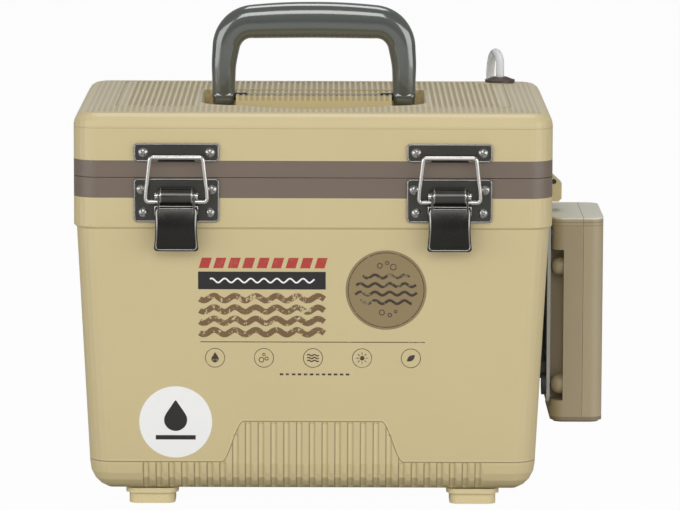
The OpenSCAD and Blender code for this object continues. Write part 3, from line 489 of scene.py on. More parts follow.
def stone(name, value):
    """Sintered mineral of the air stone: coarse grains with dark pores."""
    web, shader, where = blank(name)
    cells = web.cells(where, 1100.0)
    grains = web.noise(where, 900.0, 3.0, 0.6)
    tone = web.mix(web.ramp(cells, 0.1, 0.6), colour(value), colour(value, 0.35))
    tone = web.mix(web.times(grains, 0.5), tone, colour(value, 1.7))
    web.set(shader, Base_Color=tone, Roughness=0.95)
    bump(web, shader, web.minus(grains, cells), 0.8, 0.0006)


def clear(name):
    """Clear silicone, a little milky."""
    web, shader, where = blank(name)
    cloud = web.noise(where, 120.0)
    tone = web.mix(cloud, colour((0.86, 0.88, 0.88)), colour((0.97, 0.98, 0.98)))
    web.set(shader, Base_Color=tone, Roughness=web.ramp(cloud, 0.2, 0.8, 0.10, 0.22))
    web.set(shader, IOR=1.41, Transmission_Weight=0.45)
    bump(web, shader, cloud, 0.1, 0.0002)


def jacket(name):
    """Printed steel jacket of a dry cell: a warm band above a dark one, and a bare end."""
    web, shader, where = blank(name)
    z = web.split(where)["Z"]
    warm, bare = [web.ramp(z, low, low + 0.0003) for low in CELL_Z]
    tone = web.mix(warm, colour((0.03, 0.03, 0.035)), colour((0.55, 0.30, 0.05)))
    tone = web.mix(bare, tone, colour((0.6, 0.6, 0.58)))
    tone = web.mix(web.times(web.noise(where, 90.0), 0.15), tone, colour((0.8, 0.7, 0.5)))
    web.set(shader, Base_Color=tone, Metallic=web.most(0.35, bare), Roughness=0.32)


def print_ink(name, value, worn=0.0):
    """Flat print, with small bare specks where it is worn."""
    web, shader, where = blank(name)
    speck = web.noise(where, 420.0, 4.0, 0.7)
    patch = web.noise(where, 70.0)
    bare = web.ramp(web.plus(speck, web.times(patch, 0.35)), 0.74, 0.80)
    shade = web.mix(web.times(patch, 0.2), colour(value), colour(value, 1.5, 0.01))
    tone = web.mix(web.times(bare, worn), shade, colour(colours().tan))
    web.set(shader, Base_Color=tone, Roughness=web.ramp(speck, 0.3, 0.7, 0.36, 0.5))


def dress(name, *nodes):
    """Gives CAD nodes one finish."""
    for node in nodes:
        slots = NODES[node].data.materials
        slots.clear()
        slots.append(FINISHES[name])
        for face in NODES[node].data.polygons:
            face.material_index = 0


def soften(width, *nodes, angle=38.0, segments=2):
    """Rounds a CAD node's sharp edges for the eye, and leaves its own points as they are."""
    for node in nodes:
        made = NODES[node].modifiers.new("soft_edges", "BEVEL")
        made.width, made.segments = width, segments
        made.limit_method, made.angle_limit = "ANGLE", math.radians(angle)
        made.use_clamp_overlap, made.harden_normals = True, False


# -------- forms


def around(n):
    """Cosine and sine at n even steps of a turn."""
    return [(math.cos(math.tau * k / n), math.sin(math.tau * k / n)) for k in range(n)]


def thing(name, bm, material, angle=35.0):
    """An object from a mesh in the making, with its finish; flat-faced where angle is None."""
    mesh = bpy.data.meshes.new(name)
    bm.normal_update()
    bm.to_mesh(mesh)
    bm.free()
    made = bpy.data.objects.new(name, mesh)
    bpy.context.scene.collection.objects.link(made)
    mesh.materials.append(FINISHES[material])
    if angle is not None:
        mesh.shade_smooth()
        mesh.set_sharp_from_angle(angle=math.radians(angle))
    return made


def part(name, bm, material, slot, body, stands_for=None, angle=35.0):
    """A new piece that rides a body, and in place of a CAD node where it stands for one; its slot is not used."""
    made = thing(name, bm, material, angle=angle)
    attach(made, body)
    if stands_for:
        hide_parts(stands_for)


def skin(bm, rings, capped=True):
    """Joins rings of points, in order, with faces."""
    made = [[bm.verts.new(p) for p in ring] for ring in rings]
    count = len(made[0])
    for a, b in zip(made, made[1:]):
        for k in range(count):
            n = (k + 1) % count
            bm.faces.new((a[k], a[n], b[n], b[k]))
    if capped:
        bm.faces.new(list(reversed(made[0])))
        bm.faces.new(made[-1])
    return made


def sweep(bm, path, radius, sides=24, capped=True, inner=0.0):
    """A round bar, or with inner a pipe, along a path."""
    points = [Vector(p) for p in path]
    last = len(points) - 1
    side = None
    outer, bore = [], []
    for i, p in enumerate(points):
        along = (points[min(i + 1, last)] - points[max(i - 1, 0)]).normalized()
        if side is None:
            side = along.orthogonal().normalized()
        side = (side - along * side.dot(along)).normalized()
        up = along.cross(side)
        outer.append([p + radius * (c * side + s * up) for c, s in around(sides)])
        bore.append([p + inner * (c * side + s * up) for c, s in around(sides)])
    rings = skin(bm, outer, capped=capped and not inner)
    if inner:
        holes = skin(bm, [list(reversed(ring)) for ring in bore], capped=False)
        for a, b, front in ((rings[0], holes[0], True), (rings[-1], holes[-1], False)):
            b = list(reversed(b))
            for k in range(sides):
                n = (k + 1) % sides
                face = (a[k], b[k], b[n], a[n]) if front else (a[n], b[n], b[k], a[k])
                bm.faces.new(face)


def revolve(bm, profile, matrix, sides=40):
    """Turns an outline of (radius, height) pairs about Z and puts it in place; its ends close on the axis."""
    skin(bm, [[matrix @ Vector((r * c, r * s, h)) for c, s in around(sides)] for r, h in profile])


def rounded(corners, radius, steps=6):
    """A path with its inner corners rounded by arcs that start radius before each corner."""
    points = [Vector(p) for p in corners]
    path = [points[0]]
    for before, here, after in zip(points, points[1:], points[2:]):
        a = here + (before - here).normalized() * radius
        b = here + (after - here).normalized() * radius
        for i in range(steps + 1):
            t = i / steps
            path.append((1 - t) ** 2 * a + 2 * t * (1 - t) * here + t * t * b)
    path.append(points[-1])
    return path


def smooth_path(points, k):
    """The curve through the points that the solids follow, with k steps between two points."""
    p = [Vector(q) for q in points]
    path = []
    for i in range(len(p) - 1):
        a, b, c, d = p[max(i - 1, 0)], p[i], p[i + 1], p[min(i + 2, len(p) - 1)]
        for j in range(k):
            t = j / k
            bend = (2 * a - 5 * b + 4 * c - d) * t * t + (3 * b - a - 3 * c + d) * t ** 3
            path.append(0.5 * (2 * b + (c - a) * t + bend))
    path.append(p[-1])
    return path


def smooth_step(t):
    t = min(max(t, 0.0), 1.0)
    return t * t * (3 - 2 * t)


CORNERS = ((1, 1, 0), (-1, 1, 90), (-1, -1, 180), (1, -1, 270))


def corner_arc(start):
    """Cosine and sine at seven places of a quarter turn that starts at an angle."""
    return [(math.cos(math.radians(start + 15 * k)), math.sin(math.radians(start + 15 * k))) for k in range(7)]


def wall_at(x, z):
    """A place on the front wall: X to the right, Y up the wall and Z out of it."""
    lean, drop = math.sin(WALL_LEAN), math.cos(WALL_LEAN)
    y = WALL_Y + (STEP_Z - z) * math.tan(WALL_LEAN)
    return Matrix((
        (1.0, 0.0, 0.0, x),
        (0.0, -lean, -drop, y),
        (0.0, drop, -lean, z),
        (0.0, 0.0, 0.0, 1.0),
    ))


def disc(r, x=0.0, y=0.0, n=72):
    return [(x + r * c, y + r * s) for c, s in around(n)]


def wave(x0, x1, y, rise, length, n=48):
    across = [x0 + (x1 - x0) * i / n for i in range(n + 1)]
    return [(x, y + rise * math.sin(math.tau * x / length)) for x in across]


def drop(r, y, tail, n):
    """A round drop with a pointed top."""
    pulls = [(c, s, max(0.0, s) ** 3) for c, s in around(n)]
    return [(r * c * (1 - 0.62 * pull), y + r * s + tail * pull) for c, s, pull in pulls]


def leaf():
    """A pointed leaf, leaning to the right."""
    outline = [(-3.2 + 6.4 * i / 20, 1.7 * math.sin(math.pi * i / 20)) for i in range(21)]
    outline += [(x, -y) for x, y in reversed(outline[1:-1])]
    c, s = math.cos(LEAF_LEAN), math.sin(LEAF_LEAN)
    return [(x * c - y * s, x * s + y * c) for x, y in outline]


class Pen:
    """Draws flat shapes, in millimetres at a place of the wall, from one height out of it to another."""

    def __init__(self, place, low, high):
        self.bm, self.place, self.heights = bmesh.new(), place, (low, high)

    def flat(self, outline):
        skin(self.bm, [[self.place @ Vector((x * MM, y * MM, h * MM)) for x, y in outline] for h in self.heights])

    def bar(self, x0, y0, x1, y1, lean=0.0):
        self.flat([(x0, y0), (x1, y0), (x1 + lean, y1), (x0 + lean, y1)])

    def band(self, points, wide):
        """A stroke of even width along a line of points."""
        p = [Vector(q) for q in points]
        left, right = [], []
        for i, here in enumerate(p):
            d = (p[min(i + 1, len(p) - 1)] - p[max(i - 1, 0)]).normalized() * wide / 2
            left.append((here.x - d.y, here.y + d.x))
            right.append((here.x + d.y, here.y - d.x))
        for i in range(len(p) - 1):
            self.flat([left[i], right[i], right[i + 1], left[i + 1]])

    def hoop(self, r, wide, x=0.0, y=0.0, n=64):
        ring = disc(r, x, y, n)
        self.band(ring + ring[:2], wide)


# -------- operators


class Dressed:
    """A step that finishes CAD nodes: the nodes of each finish, and the width, nodes and settings of soft edges."""

    finishes, edges = {}, ()

    def execute(self, context):
        for name, nodes in self.finishes.items():
            dress(name, *nodes.split())
        for width, nodes, more in self.edges:
            soften(width or sizes().edge, *nodes.split(), **more)
        return {"FINISHED"}


class BUCKET_OT_finishes(bpy.types.Operator):
    """Makes the shared effects and every finish"""

    bl_idname = "bucket.finishes"
    bl_label = "Make the Finishes"

    def execute(self, context):
        c = colours()
        for make in (make_mottle, make_brushing, make_edge_light, make_score, make_flute_painted_light, make_lid_painted_light):
            make()
        plastic("tan_body", c.tan, 0.44, 0.0007, 0.22, 0.035, marks="flute_painted_light")
        score = [(LID_SCORE_Z, LID_SCORE)]
        plastic("tan_lid", c.tan, 0.40, 0.0007, 0.2, 0.035, lines=score, marks="lid_painted_light", depth=0.36, sheen=0.3)
        plastic("tan_small", c.tan, 0.42)
        plastic("taupe_band", c.taupe, 0.4, 0.0006, 0.2, 0.04, painted_edge_light=0.1)
        plastic("taupe_hinge", c.taupe, 0.45)
        plastic("liner", c.liner, 0.25, 0.0009, 0.08, 0.02, painted_edge_light=0.05)
        # Painted light: the feet are paler than the box's tan, to lift them out of the shade under the box.
        plastic("foot_rubber", (0.72, 0.61, 0.35), 0.6, 0.0005, 0.5, 0.06, painted_edge_light=0.1)
        plastic("gasket", c.rubber, 0.55, 0.0005, 0.4, 0.1, painted_edge_light=0.05)
        plastic("handle_gloss", c.handle, 0.24, 0.0012, 0.06, 0.05, painted_edge_light=0.0, coat=1.0)
        plastic("black_rubber", c.rubber, 0.5, 0.0005, 0.4, 0.1, painted_edge_light=0.06)
        plastic("grommet_rubber", (0.075, 0.05, 0.035), 0.38, 0.0005, 0.3, 0.1, painted_edge_light=0.1)
        # The inner shell's darker colour is painted shade on the side that faces the box; the two halves are one
        # colour.
        plastic("pump_back", c.pump_back, 0.45, 0.0006, 0.3, 0.05)
        plastic("pump_front", c.pump_front, 0.42, 0.0006, 0.3, 0.05)
        pump_lid("pump_cap", c.pump_cap, c.pump_front)
        plastic("pump_foot", [v * 0.62 for v in c.pump_back], 0.5, 0.0006, 0.3, 0.05)
        plastic("inner_black", (0.05, 0.05, 0.055), 0.5)
        plastic("hanger_paint", (0.36, 0.36, 0.34), 0.45, 0.0005, 0.2, 0.06)
        # The paler colour after the relief of each steel is painted on its edges as a highlight.
        metal("latch_steel", c.latch, 0.32, 0.2, (0.72, 0.70, 0.66), 0.0018)
        metal("latch_blade", [v * 0.45 for v in c.latch], 0.3, 0.2, (0.50, 0.49, 0.46), 0.0009, upright=True)
        metal("bright_steel", c.bright, 0.22, 0.1, (0.85, 0.84, 0.8))
        metal("dark_steel", (0.05, 0.05, 0.05), 0.4, 0.1)
        metal("wire_steel", [v * 1.1 for v in c.bright], 0.25, 0.1)
        metal("screw_steel", [v * 0.7 for v in c.bright], 0.3, 0.1)
        # A paler copy of the bright steel, whose paleness paints the highlights along the rolled rims and beads.
        metal("rim_highlight_steel", [v * 0.55 for v in c.bright], 0.24, 0.1)
        metal("motor_can", (0.5, 0.5, 0.48), 0.35, 0.2)
        foam("wall_foam", (0.86, 0.80, 0.60))
        stone("stone_mineral", (0.26, 0.30, 0.36))
        clear("clear_silicone")
        jacket("cell_jacket")
        print_ink("badge_ground", c.badge)
        print_ink("sticker_ground", (0.86, 0.86, 0.85))
        print_ink("dark_ink", c.ink, 0.35)
        print_ink("brown_ink", (0.17, 0.10, 0.045), 0.9)
        print_ink("warm_ink", c.accent, 0.1)
        print_ink("black_ink", (0.016, 0.014, 0.014))
        return {"FINISHED"}


class BUCKET_OT_box(Dressed, bpy.types.Operator):
    """Finishes the box, its tub, bands and feet"""

    bl_idname = "bucket.box"
    bl_label = "Finish the Box"

    finishes = {
        "tan_body": "outer_shell", "wall_foam": "body_foam", "liner": "inner_liner",
        "taupe_band": "base_trim_band", "foot_rubber": "feet",
    }
    edges = (
        (None, "base_trim_band", {}), (0.0015, "feet", {"segments": 3}), (0.0012, "inner_liner", {"angle": 60}),
    )


class BUCKET_OT_lid(Dressed, bpy.types.Operator):
    """Finishes the lid, its band, inner panel and gasket"""

    bl_idname = "bucket.lid"
    bl_label = "Finish the Lid"

    finishes = {
        "tan_lid": "lid_shell", "wall_foam": "lid_foam", "taupe_band": "lid_trim_band",
        "liner": "lid_inner_panel", "gasket": "lid_gasket", "grommet_rubber": "hose_grommet",
    }
    edges = (
        (None, "lid_trim_band", {}), (0.0012, "lid_inner_panel", {"segments": 3}),
        (0.0005, "hose_grommet", {"segments": 3}),
    )


class BUCKET_OT_hinges(Dressed, bpy.types.Operator):
    """Finishes the two lid hinges"""

    bl_idname = "bucket.hinges"
    bl_label = "Finish the Hinges"

    finishes = {
        "taupe_hinge": "base_hinge_leaves lid_hinge_leaves",
        "bright_steel": "hinge_pins", "dark_steel": "handle_pivot_pins",
    }
    edges = ((0.0005, "base_hinge_leaves lid_hinge_leaves", {}), (0.0004, "hinge_pins", {}))


class BUCKET_OT_handle(bpy.types.Operator):
    """Makes the smooth carry handle"""

    bl_idname = "bucket.handle"
    bl_label = "Make the Handle"

    def execute(self, context):
        # Half the width at the pivots, the radius of the bend, the reach above the pivots, and the sag of the grip
        half, turn, reach, sag = 0.0577, 0.017, 0.0494, 0.0011
        # Shares of the way from a pivot to the middle where the leg ends and the grip starts
        leg, grip = 0.42, 0.72
        # Width and depth of the section at the pivot and at the middle
        thin, thick = (0.0152, 0.013), (0.0234, 0.017)
        steps, sides = 72, 56

        def middle(t):
            x, top = half - 0.0024 * smooth_step((t - 0.22) / 0.34), PIVOT_Z + reach
            if t < leg:
                return x, PIVOT_Z + (reach - turn) * t / leg
            if t < grip:
                part = (t - leg) / (grip - leg)
                a = math.pi / 2 * part
                return x - turn * (1 - math.cos(a)), top - sag * smooth_step(part) - turn * (1 - math.sin(a))
            to_end = 1 - (t - grip) / (1 - grip)
            return (x - turn) * to_end, top - sag * to_end ** 2

        def power(v, e):
            return math.copysign(abs(v) ** e, v)

        line = [(Vector((x, 0.0, z)), t) for t in [i / steps for i in range(steps + 1)] for x, z in [middle(t)]]
        line += [(Vector((-p.x, 0.0, p.z)), t) for p, t in reversed(line[:-1])]
        rings = []
        for i, (p, t) in enumerate(line):
            along = (line[min(i + 1, len(line) - 1)][0] - line[max(i - 1, 0)][0]).normalized()
            side = Vector((along.z, 0.0, -along.x))
            share = smooth_step((t - 0.1) / 0.85)
            w, d = [0.98 * (a + (b - a) * share) / 2 for a, b in zip(thin, thick)]
            ring = [(p + side * w * power(c, 0.75), d * power(s, 0.85)) for c, s in around(sides)]
            rings.append([(q.x, y, q.z) for q, y in ring])
        bm = bmesh.new()
        skin(bm, rings)
        # The round bosses at the pivots: radius, half their width and the rounding of their rims
        boss, wide, soft = 0.0065, 0.0069, 0.0025
        arc = [math.radians(a) for a in range(0, 91, 15)]
        outline = [(0.0002, -wide)]
        outline += [(boss - soft + soft * math.sin(a), -wide + soft - soft * math.cos(a)) for a in arc]
        outline += [(q, -h) for q, h in reversed(outline)]
        for side in (-1, 1):
            place = Matrix.Translation((side * half, 0.0, PIVOT_Z)) @ Matrix.Rotation(math.radians(90), 4, "Y")
            revolve(bm, outline, place, 48)
        part("handle_grip", bm, "handle_gloss", "handle_plastic", "handle", "carry_handle", 50)
        return {"FINISHED"}


class BUCKET_OT_latches(bpy.types.Operator):
    """Finishes the latches, and makes their wires, rims, lever faces and cross-head screws"""

    bl_idname = "bucket.latches"
    bl_label = "Make the Latches"

    def execute(self, context):
        for side in ("left", "right"):
            dress("latch_steel", "latch_plate_" + side, "strike_" + side)
            dress("latch_blade", "lever_" + side)
            dress("bright_steel", "latch_pin_" + side)
            soften(0.00035, "latch_plate_" + side, "strike_" + side, "lever_" + side, segments=3)
        self.wire("left", -1)
        self.wire("right", 1)
        self.rims()
        self.pads()
        self.screws()
        return {"FINISHED"}

    def wire(self, name, side):
        """A bail's bent wire: in at the lever's cheeks, out and up, and across the strike's hook."""
        foot, head, end = 0.0189, 0.0163, 0.0102
        neck = BAIL_Z + 0.0046
        knee = BAIL_Y + (BAR_Y - BAIL_Y) * (neck - BAIL_Z) / (BAR_Z - BAIL_Z)
        half = [(end, BAIL_Y, BAIL_Z), (foot, BAIL_Y, BAIL_Z), (foot, knee, neck), (head, BAR_Y, BAR_Z)]
        corners = half + [(-x, y, z) for x, y, z in reversed(half)]
        path = [p + Vector((side * LATCH_X, 0.0, 0.0)) for p in rounded(corners, 0.0022)]
        bm = bmesh.new()
        sweep(bm, path, sizes().wire_d / 2, 20)
        part("bail_wire_" + name, bm, "wire_steel", "latch_steel", "bail_" + name[0], "bail_" + name, 60)

    def rims(self):
        """The rolled edges of the plates on the box and of the strikes on the lid, in a paler steel that paints the
        highlight along them.
        """
        half, inset, turn = 0.0265, 0.00055, 0.0021
        plates = (("latch_rims", "base", 0.1819, 0.2091), ("strike_rims", "lid", 0.2196, 0.2310))
        for name, body, low, high in plates:
            bm = bmesh.new()
            for side in (-1, 1):
                path = []
                for cx, cz, start in CORNERS:
                    x = side * LATCH_X + cx * (half - inset - turn)
                    z = (high if cz > 0 else low) - cz * (inset + turn)
                    path += [(x + turn * c, PLATE_Y, z + turn * s) for c, s in corner_arc(start)]
                sweep(bm, path + path[:1], inset, 12, capped=False)
            part(name, bm, "rim_highlight_steel", "latch_steel", body, angle=60)

    def pad_outline(self, tall, corner):
        """Outline of a lever's face in shares of its half width and half height."""
        outline = []
        for cx, cz, start in CORNERS:
            across, up = corner / LEVER_HALF, corner / tall
            outline += [(cx + across * (c - cx), cz + up * (s - cz)) for c, s in corner_arc(start)]
            if cx * cz > 0:
                outline += [(cx * (1 - k / 2), cz) for k in range(1, 4)]
            else:
                outline += [(cx, cz * (1 - corner / tall) * (1 - k / 6)) for k in range(1, 12)]
        return outline

    def pads(self):
        """The pressed faces of the levers: crowned, with rolled edges and a waist, over the blade's bow."""
        bow, tall = 0.036, 0.0138
        pin_y, middle = BAIL_Y - 0.0009, PIN_Z - 0.02035
        outline = self.pad_outline(tall, 0.0024)
        # Share of the outline, and millimetres in front of the blade, from the back's middle to the face's
        steps = [(0.03, -0.6), (0.3, -0.6), (0.6, -0.6), (0.85, -0.6), (0.97, -0.6), (1.0, -0.4), (1.0, 0.1)]
        steps += [(0.988, 0.4), (0.965, 0.65), (0.93, 0.82), (0.88, 0.9), (0.8, 0.88), (0.65, 0.78), (0.5, 0.72)]
        steps += [(0.3, 0.7), (0.03, 0.7)]

        def ring(side, scale, rise):
            points = []
            for u, v in outline:
                u, v = u * scale, v * scale
                x = side * LATCH_X + u * (0.0129 + 0.00095 * v * v - 0.00025 * v)
                z = middle + v * tall
                face = pin_y - 0.0034 + bow - math.sqrt(bow ** 2 - (z - PIN_Z + 0.01975) ** 2)
                if v < 0:
                    face = min(face, pin_y - 0.0023)
                points.append(Vector((x, face - rise * MM, z)))
            return points

        for name, side in (("left", -1), ("right", 1)):
            bm = bmesh.new()
            skin(bm, [ring(side, scale, rise) for scale, rise in steps])
            bmesh.ops.recalc_face_normals(bm, faces=bm.faces)
            part("lever_pad_" + name, bm, "latch_blade", "latch_steel", "lever_" + name[0], angle=70)
            # A bead round each face in the paler rim steel, whose colour paints the highlight along the face's
            # rolled edge.
            bm = bmesh.new()
            path = ring(side, 0.925, 0.56)
            sweep(bm, path + path[:1], 0.0005, 12, capped=False)
            part("lever_bead_" + name, bm, "rim_highlight_steel", "latch_steel", "lever_" + name[0], angle=60)

    def head(self):
        """One pan head with a cross recess, its axis along Z."""
        bm = bmesh.new()
        profile = [(0.0014, -0.0012), (0.0014, 0.0), (0.00304, 0.0)]
        profile += [(r * MM, MM * (math.sqrt(16 - r * r) - 2.6)) for r in (3.02, 2.8, 2.4, 1.9, 1.3, 0.7, 0.2)]
        revolve(bm, profile, Matrix.Identity(4), 40)
        bmesh.ops.recalc_face_normals(bm, faces=bm.faces)
        body = thing("screw_head", bm, "screw_steel")
        cut = bmesh.new()
        for turn in (0, 90):
            m = Matrix.Rotation(math.radians(turn), 4, "Z")
            square = ((-1, -1), (1, -1), (1, 1), (-1, 1))
            low = [m @ Vector((x * 0.0012, y * 0.00035, 0.0002)) for x, y in square]
            high = [m @ Vector((x * 0.0022, y * 0.00055, 0.002)) for x, y in square]
            skin(cut, [low, high])
        bmesh.ops.recalc_face_normals(cut, faces=cut.faces)
        tool = thing("screw_cut", cut, "screw_steel")
        made = body.modifiers.new("cross", "BOOLEAN")
        made.operation, made.solver, made.object, made.use_self = "DIFFERENCE", "EXACT", tool, True
        mesh = bpy.data.meshes.new_from_object(body.evaluated_get(bpy.context.evaluated_depsgraph_get()))
        bpy.data.objects.remove(body)
        bpy.data.objects.remove(tool)
        return mesh

    def screws(self):
        """Every head on the plates and strikes, each turned its own way."""
        head = self.head()
        places = {"latch": [], "strike": []}
        for side in (-1, 1):
            for x, z in ((-22, 5.4), (22, 5.4), (-20.6, -9), (20.6, -9)):
                places["latch"].append((side * LATCH_X + x * MM, PIN_Z + (z - 1.9) * MM))
            for x in (-20.7, 20.7):
                places["strike"].append((side * LATCH_X + x * MM, STRIKE_Z))
        turns = (18, 64, -22, 41, 77, 8, 52, -35, 29, 70, 12, 48)
        for name, spots in places.items():
            bm = bmesh.new()
            for i, (x, z) in enumerate(spots):
                place = Matrix.Translation((x, PLATE_Y, z)) @ Matrix.Rotation(math.radians(90), 4, "X")
                copy = head.copy()
                copy.transform(place @ Matrix.Rotation(math.radians(turns[(i + len(name)) % 12]), 4, "Z"))
                bm.from_mesh(copy)
                bpy.data.meshes.remove(copy)
            body = "base" if name == "latch" else "lid"
            part(name + "_screw_heads", bm, "screw_steel", "bright_steel", body, name + "_screws", 30)
        bpy.data.meshes.remove(head)


class BUCKET_OT_pump(Dressed, bpy.types.Operator):
    """Finishes the pump, its hanger and the lug above it"""

    bl_idname = "bucket.pump"
    bl_label = "Finish the Pump"

    finishes = {
        "tan_small": "pump_lug", "black_rubber": "pump_lug_pin hanger_pads hanger_studs pump_switch_button",
        "hanger_paint": "hanger_plate", "pump_back": "pump_back_shell", "pump_front": "pump_front_shell",
        "pump_cap": "pump_top_cap", "pump_foot": "pump_foot_cap", "inner_black": "pump_air_head pump_outlet",
        "motor_can": "pump_motor", "cell_jacket": "battery_cells", "bright_steel": "pump_case_screws",
    }
    edges = (
        (0.0008, "pump_lug pump_back_shell pump_front_shell pump_foot_cap", {}),
        (0.0018, "pump_top_cap", {"segments": 4}),
        (0.0005, "hanger_plate pump_switch_button hanger_pads pump_outlet", {}),
    )


class BUCKET_OT_air_line(bpy.types.Operator):
    """Makes the clear hose from the pump to the stone"""

    bl_idname = "bucket.air_line"
    bl_label = "Make the Air Line"

    def execute(self, context):
        d = sizes().hose_d
        dress("stone_mineral", "air_stone")
        soften(0.0008, "air_stone", segments=3)
        # Name, route, the CAD node it stands for, the bend between two bodies, and what hangs on its end
        halves = (
            ("hose_pump_side", PUMP_ROUTE, "air_hose_pump_end",
             ("pump", "base", (0.168, 0.052, 0.152), (0.128, 0.12, 0.146)), {}),
            ("hose_lid_side", LID_ROUTE, "air_hose_lid_end",
             ("base", "lid", (0.12, 0.1, 0.186), (0.12, 0.1, 0.236)), {"with_pieces": [NODES["air_stone"]]}),
        )
        for name, route, stands_for, bend, more in halves:
            path = smooth_path([[q * MM for q in p] for p in route], 6)
            bm = bmesh.new()
            sweep(bm, path, d / 2, 24, inner=d / 2 - 0.0011)
            made = thing(name, bm, "clear_silicone", angle=60)
            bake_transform(made)
            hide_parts(stands_for)
        return {"FINISHED"}


class BUCKET_OT_prints(bpy.types.Operator):
    """Makes the plain badge, the sticker and the generic marks on the front"""

    bl_idname = "bucket.prints"
    bl_label = "Make the Prints"

    def execute(self, context):
        size = sizes()
        self.badge(size.badge_r)
        self.sticker(size.sticker_r)
        self.bars()
        self.rings(size.ring_r)
        return {"FINISHED"}

    def done(self, name, bm, material, slot="tan_plastic"):
        part(name, bm, material, slot, "base", angle=None)

    def plate(self, place, r, levels):
        """A round label, with the share of its radius and its height in millimetres at each level."""
        bm = bmesh.new()
        skin(bm, [[place @ Vector((a * r * c, a * r * s, h * MM)) for c, s in around(120)] for a, h in levels])
        return bm

    def badge(self, r):
        place = wall_at(0.0456, 0.139)
        ground = self.plate(place, r, ((1.0, -0.05), (1.0, 0.1), (0.993, 0.17)))
        self.done("round_badge", ground, "badge_ground", "taupe_plastic")
        pen = Pen(place, 0.12, 0.22)
        pen.hoop(r / MM - 1.6, 0.45, n=96)
        for y, half in ((8.6, 14.5), (3.2, 18.6), (-2.2, 19.2), (-7.6, 16.0)):
            pen.band(wave(-half, half, y, 1.1, 9.2, 72), 1.7)
        bubbles = ((-4.0, 15.4, 1.5), (0.6, 17.2, 1.0), (4.4, 14.6, 1.8))
        bubbles += ((-2.6, -14.2, 1.6), (2.4, -15.8, 1.1), (6.0, -13.6, 0.8))
        for x, y, q in bubbles:
            pen.hoop(q, 0.55, x, y, 32)
        self.done("badge_marks", pen.bm, "dark_ink", "taupe_plastic")

    def sticker(self, r):
        place = wall_at(-0.0856, 0.0546)
        ground = self.plate(place, r, ((1.0, -0.05), (1.0, 0.08), (0.994, 0.14)))
        self.done("round_sticker", ground, "sticker_ground")
        pen = Pen(place, 0.08, 0.2)
        pen.flat(drop(7.2, 1.5, 5.2, 64))
        pen.bar(-12.5, -11.2, 12.5, -8.4)
        self.done("sticker_marks", pen.bm, "black_ink")

    def bars(self):
        """The rows of generic marks: leaning bars, a wave on a dark bar, worn waves, a rule and dashes."""
        place = wall_at(0.0, 0.139)
        warm, dark, brown = [Pen(place, -0.02, 0.07) for _ in range(3)]
        rule, pale = Pen(place, -0.02, 0.06), Pen(place, 0.0, 0.1)
        for k in range(9):
            warm.bar(-71.0 + 9.0 * k, 13.6, -64.8 + 9.0 * k, 20.2, lean=2.0)
        dark.bar(-71.4, 0.2, 8.0, 11.4)
        for y in (-5.4, -12.6, -19.8, -27.0):
            brown.band(wave(-70.4, 7.2, y, 1.5, 12.93, 110), 3.7)
        rule.bar(-70.0, -33.45, 70.0, -32.95)
        for k in range(12):
            x = -20.5 + 3.75 * k
            rule.bar(x, -54.4, x + 2.2, -53.2)
        pale.band(wave(-64.0, 1.0, 5.8, 1.3, 8.125, 120), 1.0)
        self.done("print_warm_row", warm.bm, "warm_ink")
        self.done("print_black_bar", dark.bm, "black_ink")
        self.done("print_brown_waves", brown.bm, "brown_ink")
        self.done("print_rule", rule.bm, "dark_ink")
        self.done("print_pale_wave", pale.bm, "sticker_ground")

    def rings(self, r):
        """Five rings with a plain sign in each: drop, bubbles, waves, sun and leaf."""
        pen = Pen(None, -0.02, 0.06)
        for x, kind in zip((-60.9, -30.4, 0.2, 30.8, 61.3), ("drop", "bubbles", "waves", "sun", "leaf")):
            pen.place = wall_at(x * MM, 0.0957)
            pen.hoop(r / MM - 0.2, 0.4)
            if kind == "drop":
                pen.flat(drop(2.3, -0.7, 1.9, 40))
            elif kind == "bubbles":
                for px, py, q in ((-1.5, -1.2, 1.5), (1.7, -0.4, 1.0), (0.0, 2.2, 0.8)):
                    pen.hoop(q, 0.5, px, py, 28)
            elif kind == "waves":
                for py in (1.8, 0.0, -1.8):
                    pen.band(wave(-3.6, 3.6, py, 0.45, 3.6, 36), 0.75)
            elif kind == "sun":
                pen.flat(disc(1.5, n=32))
                for c, s in around(8):
                    pen.band([(2.2 * c, 2.2 * s), (3.7 * c, 3.7 * s)], 0.5)
            else:
                pen.flat(leaf())
        self.done("print_rings", pen.bm, "dark_ink")


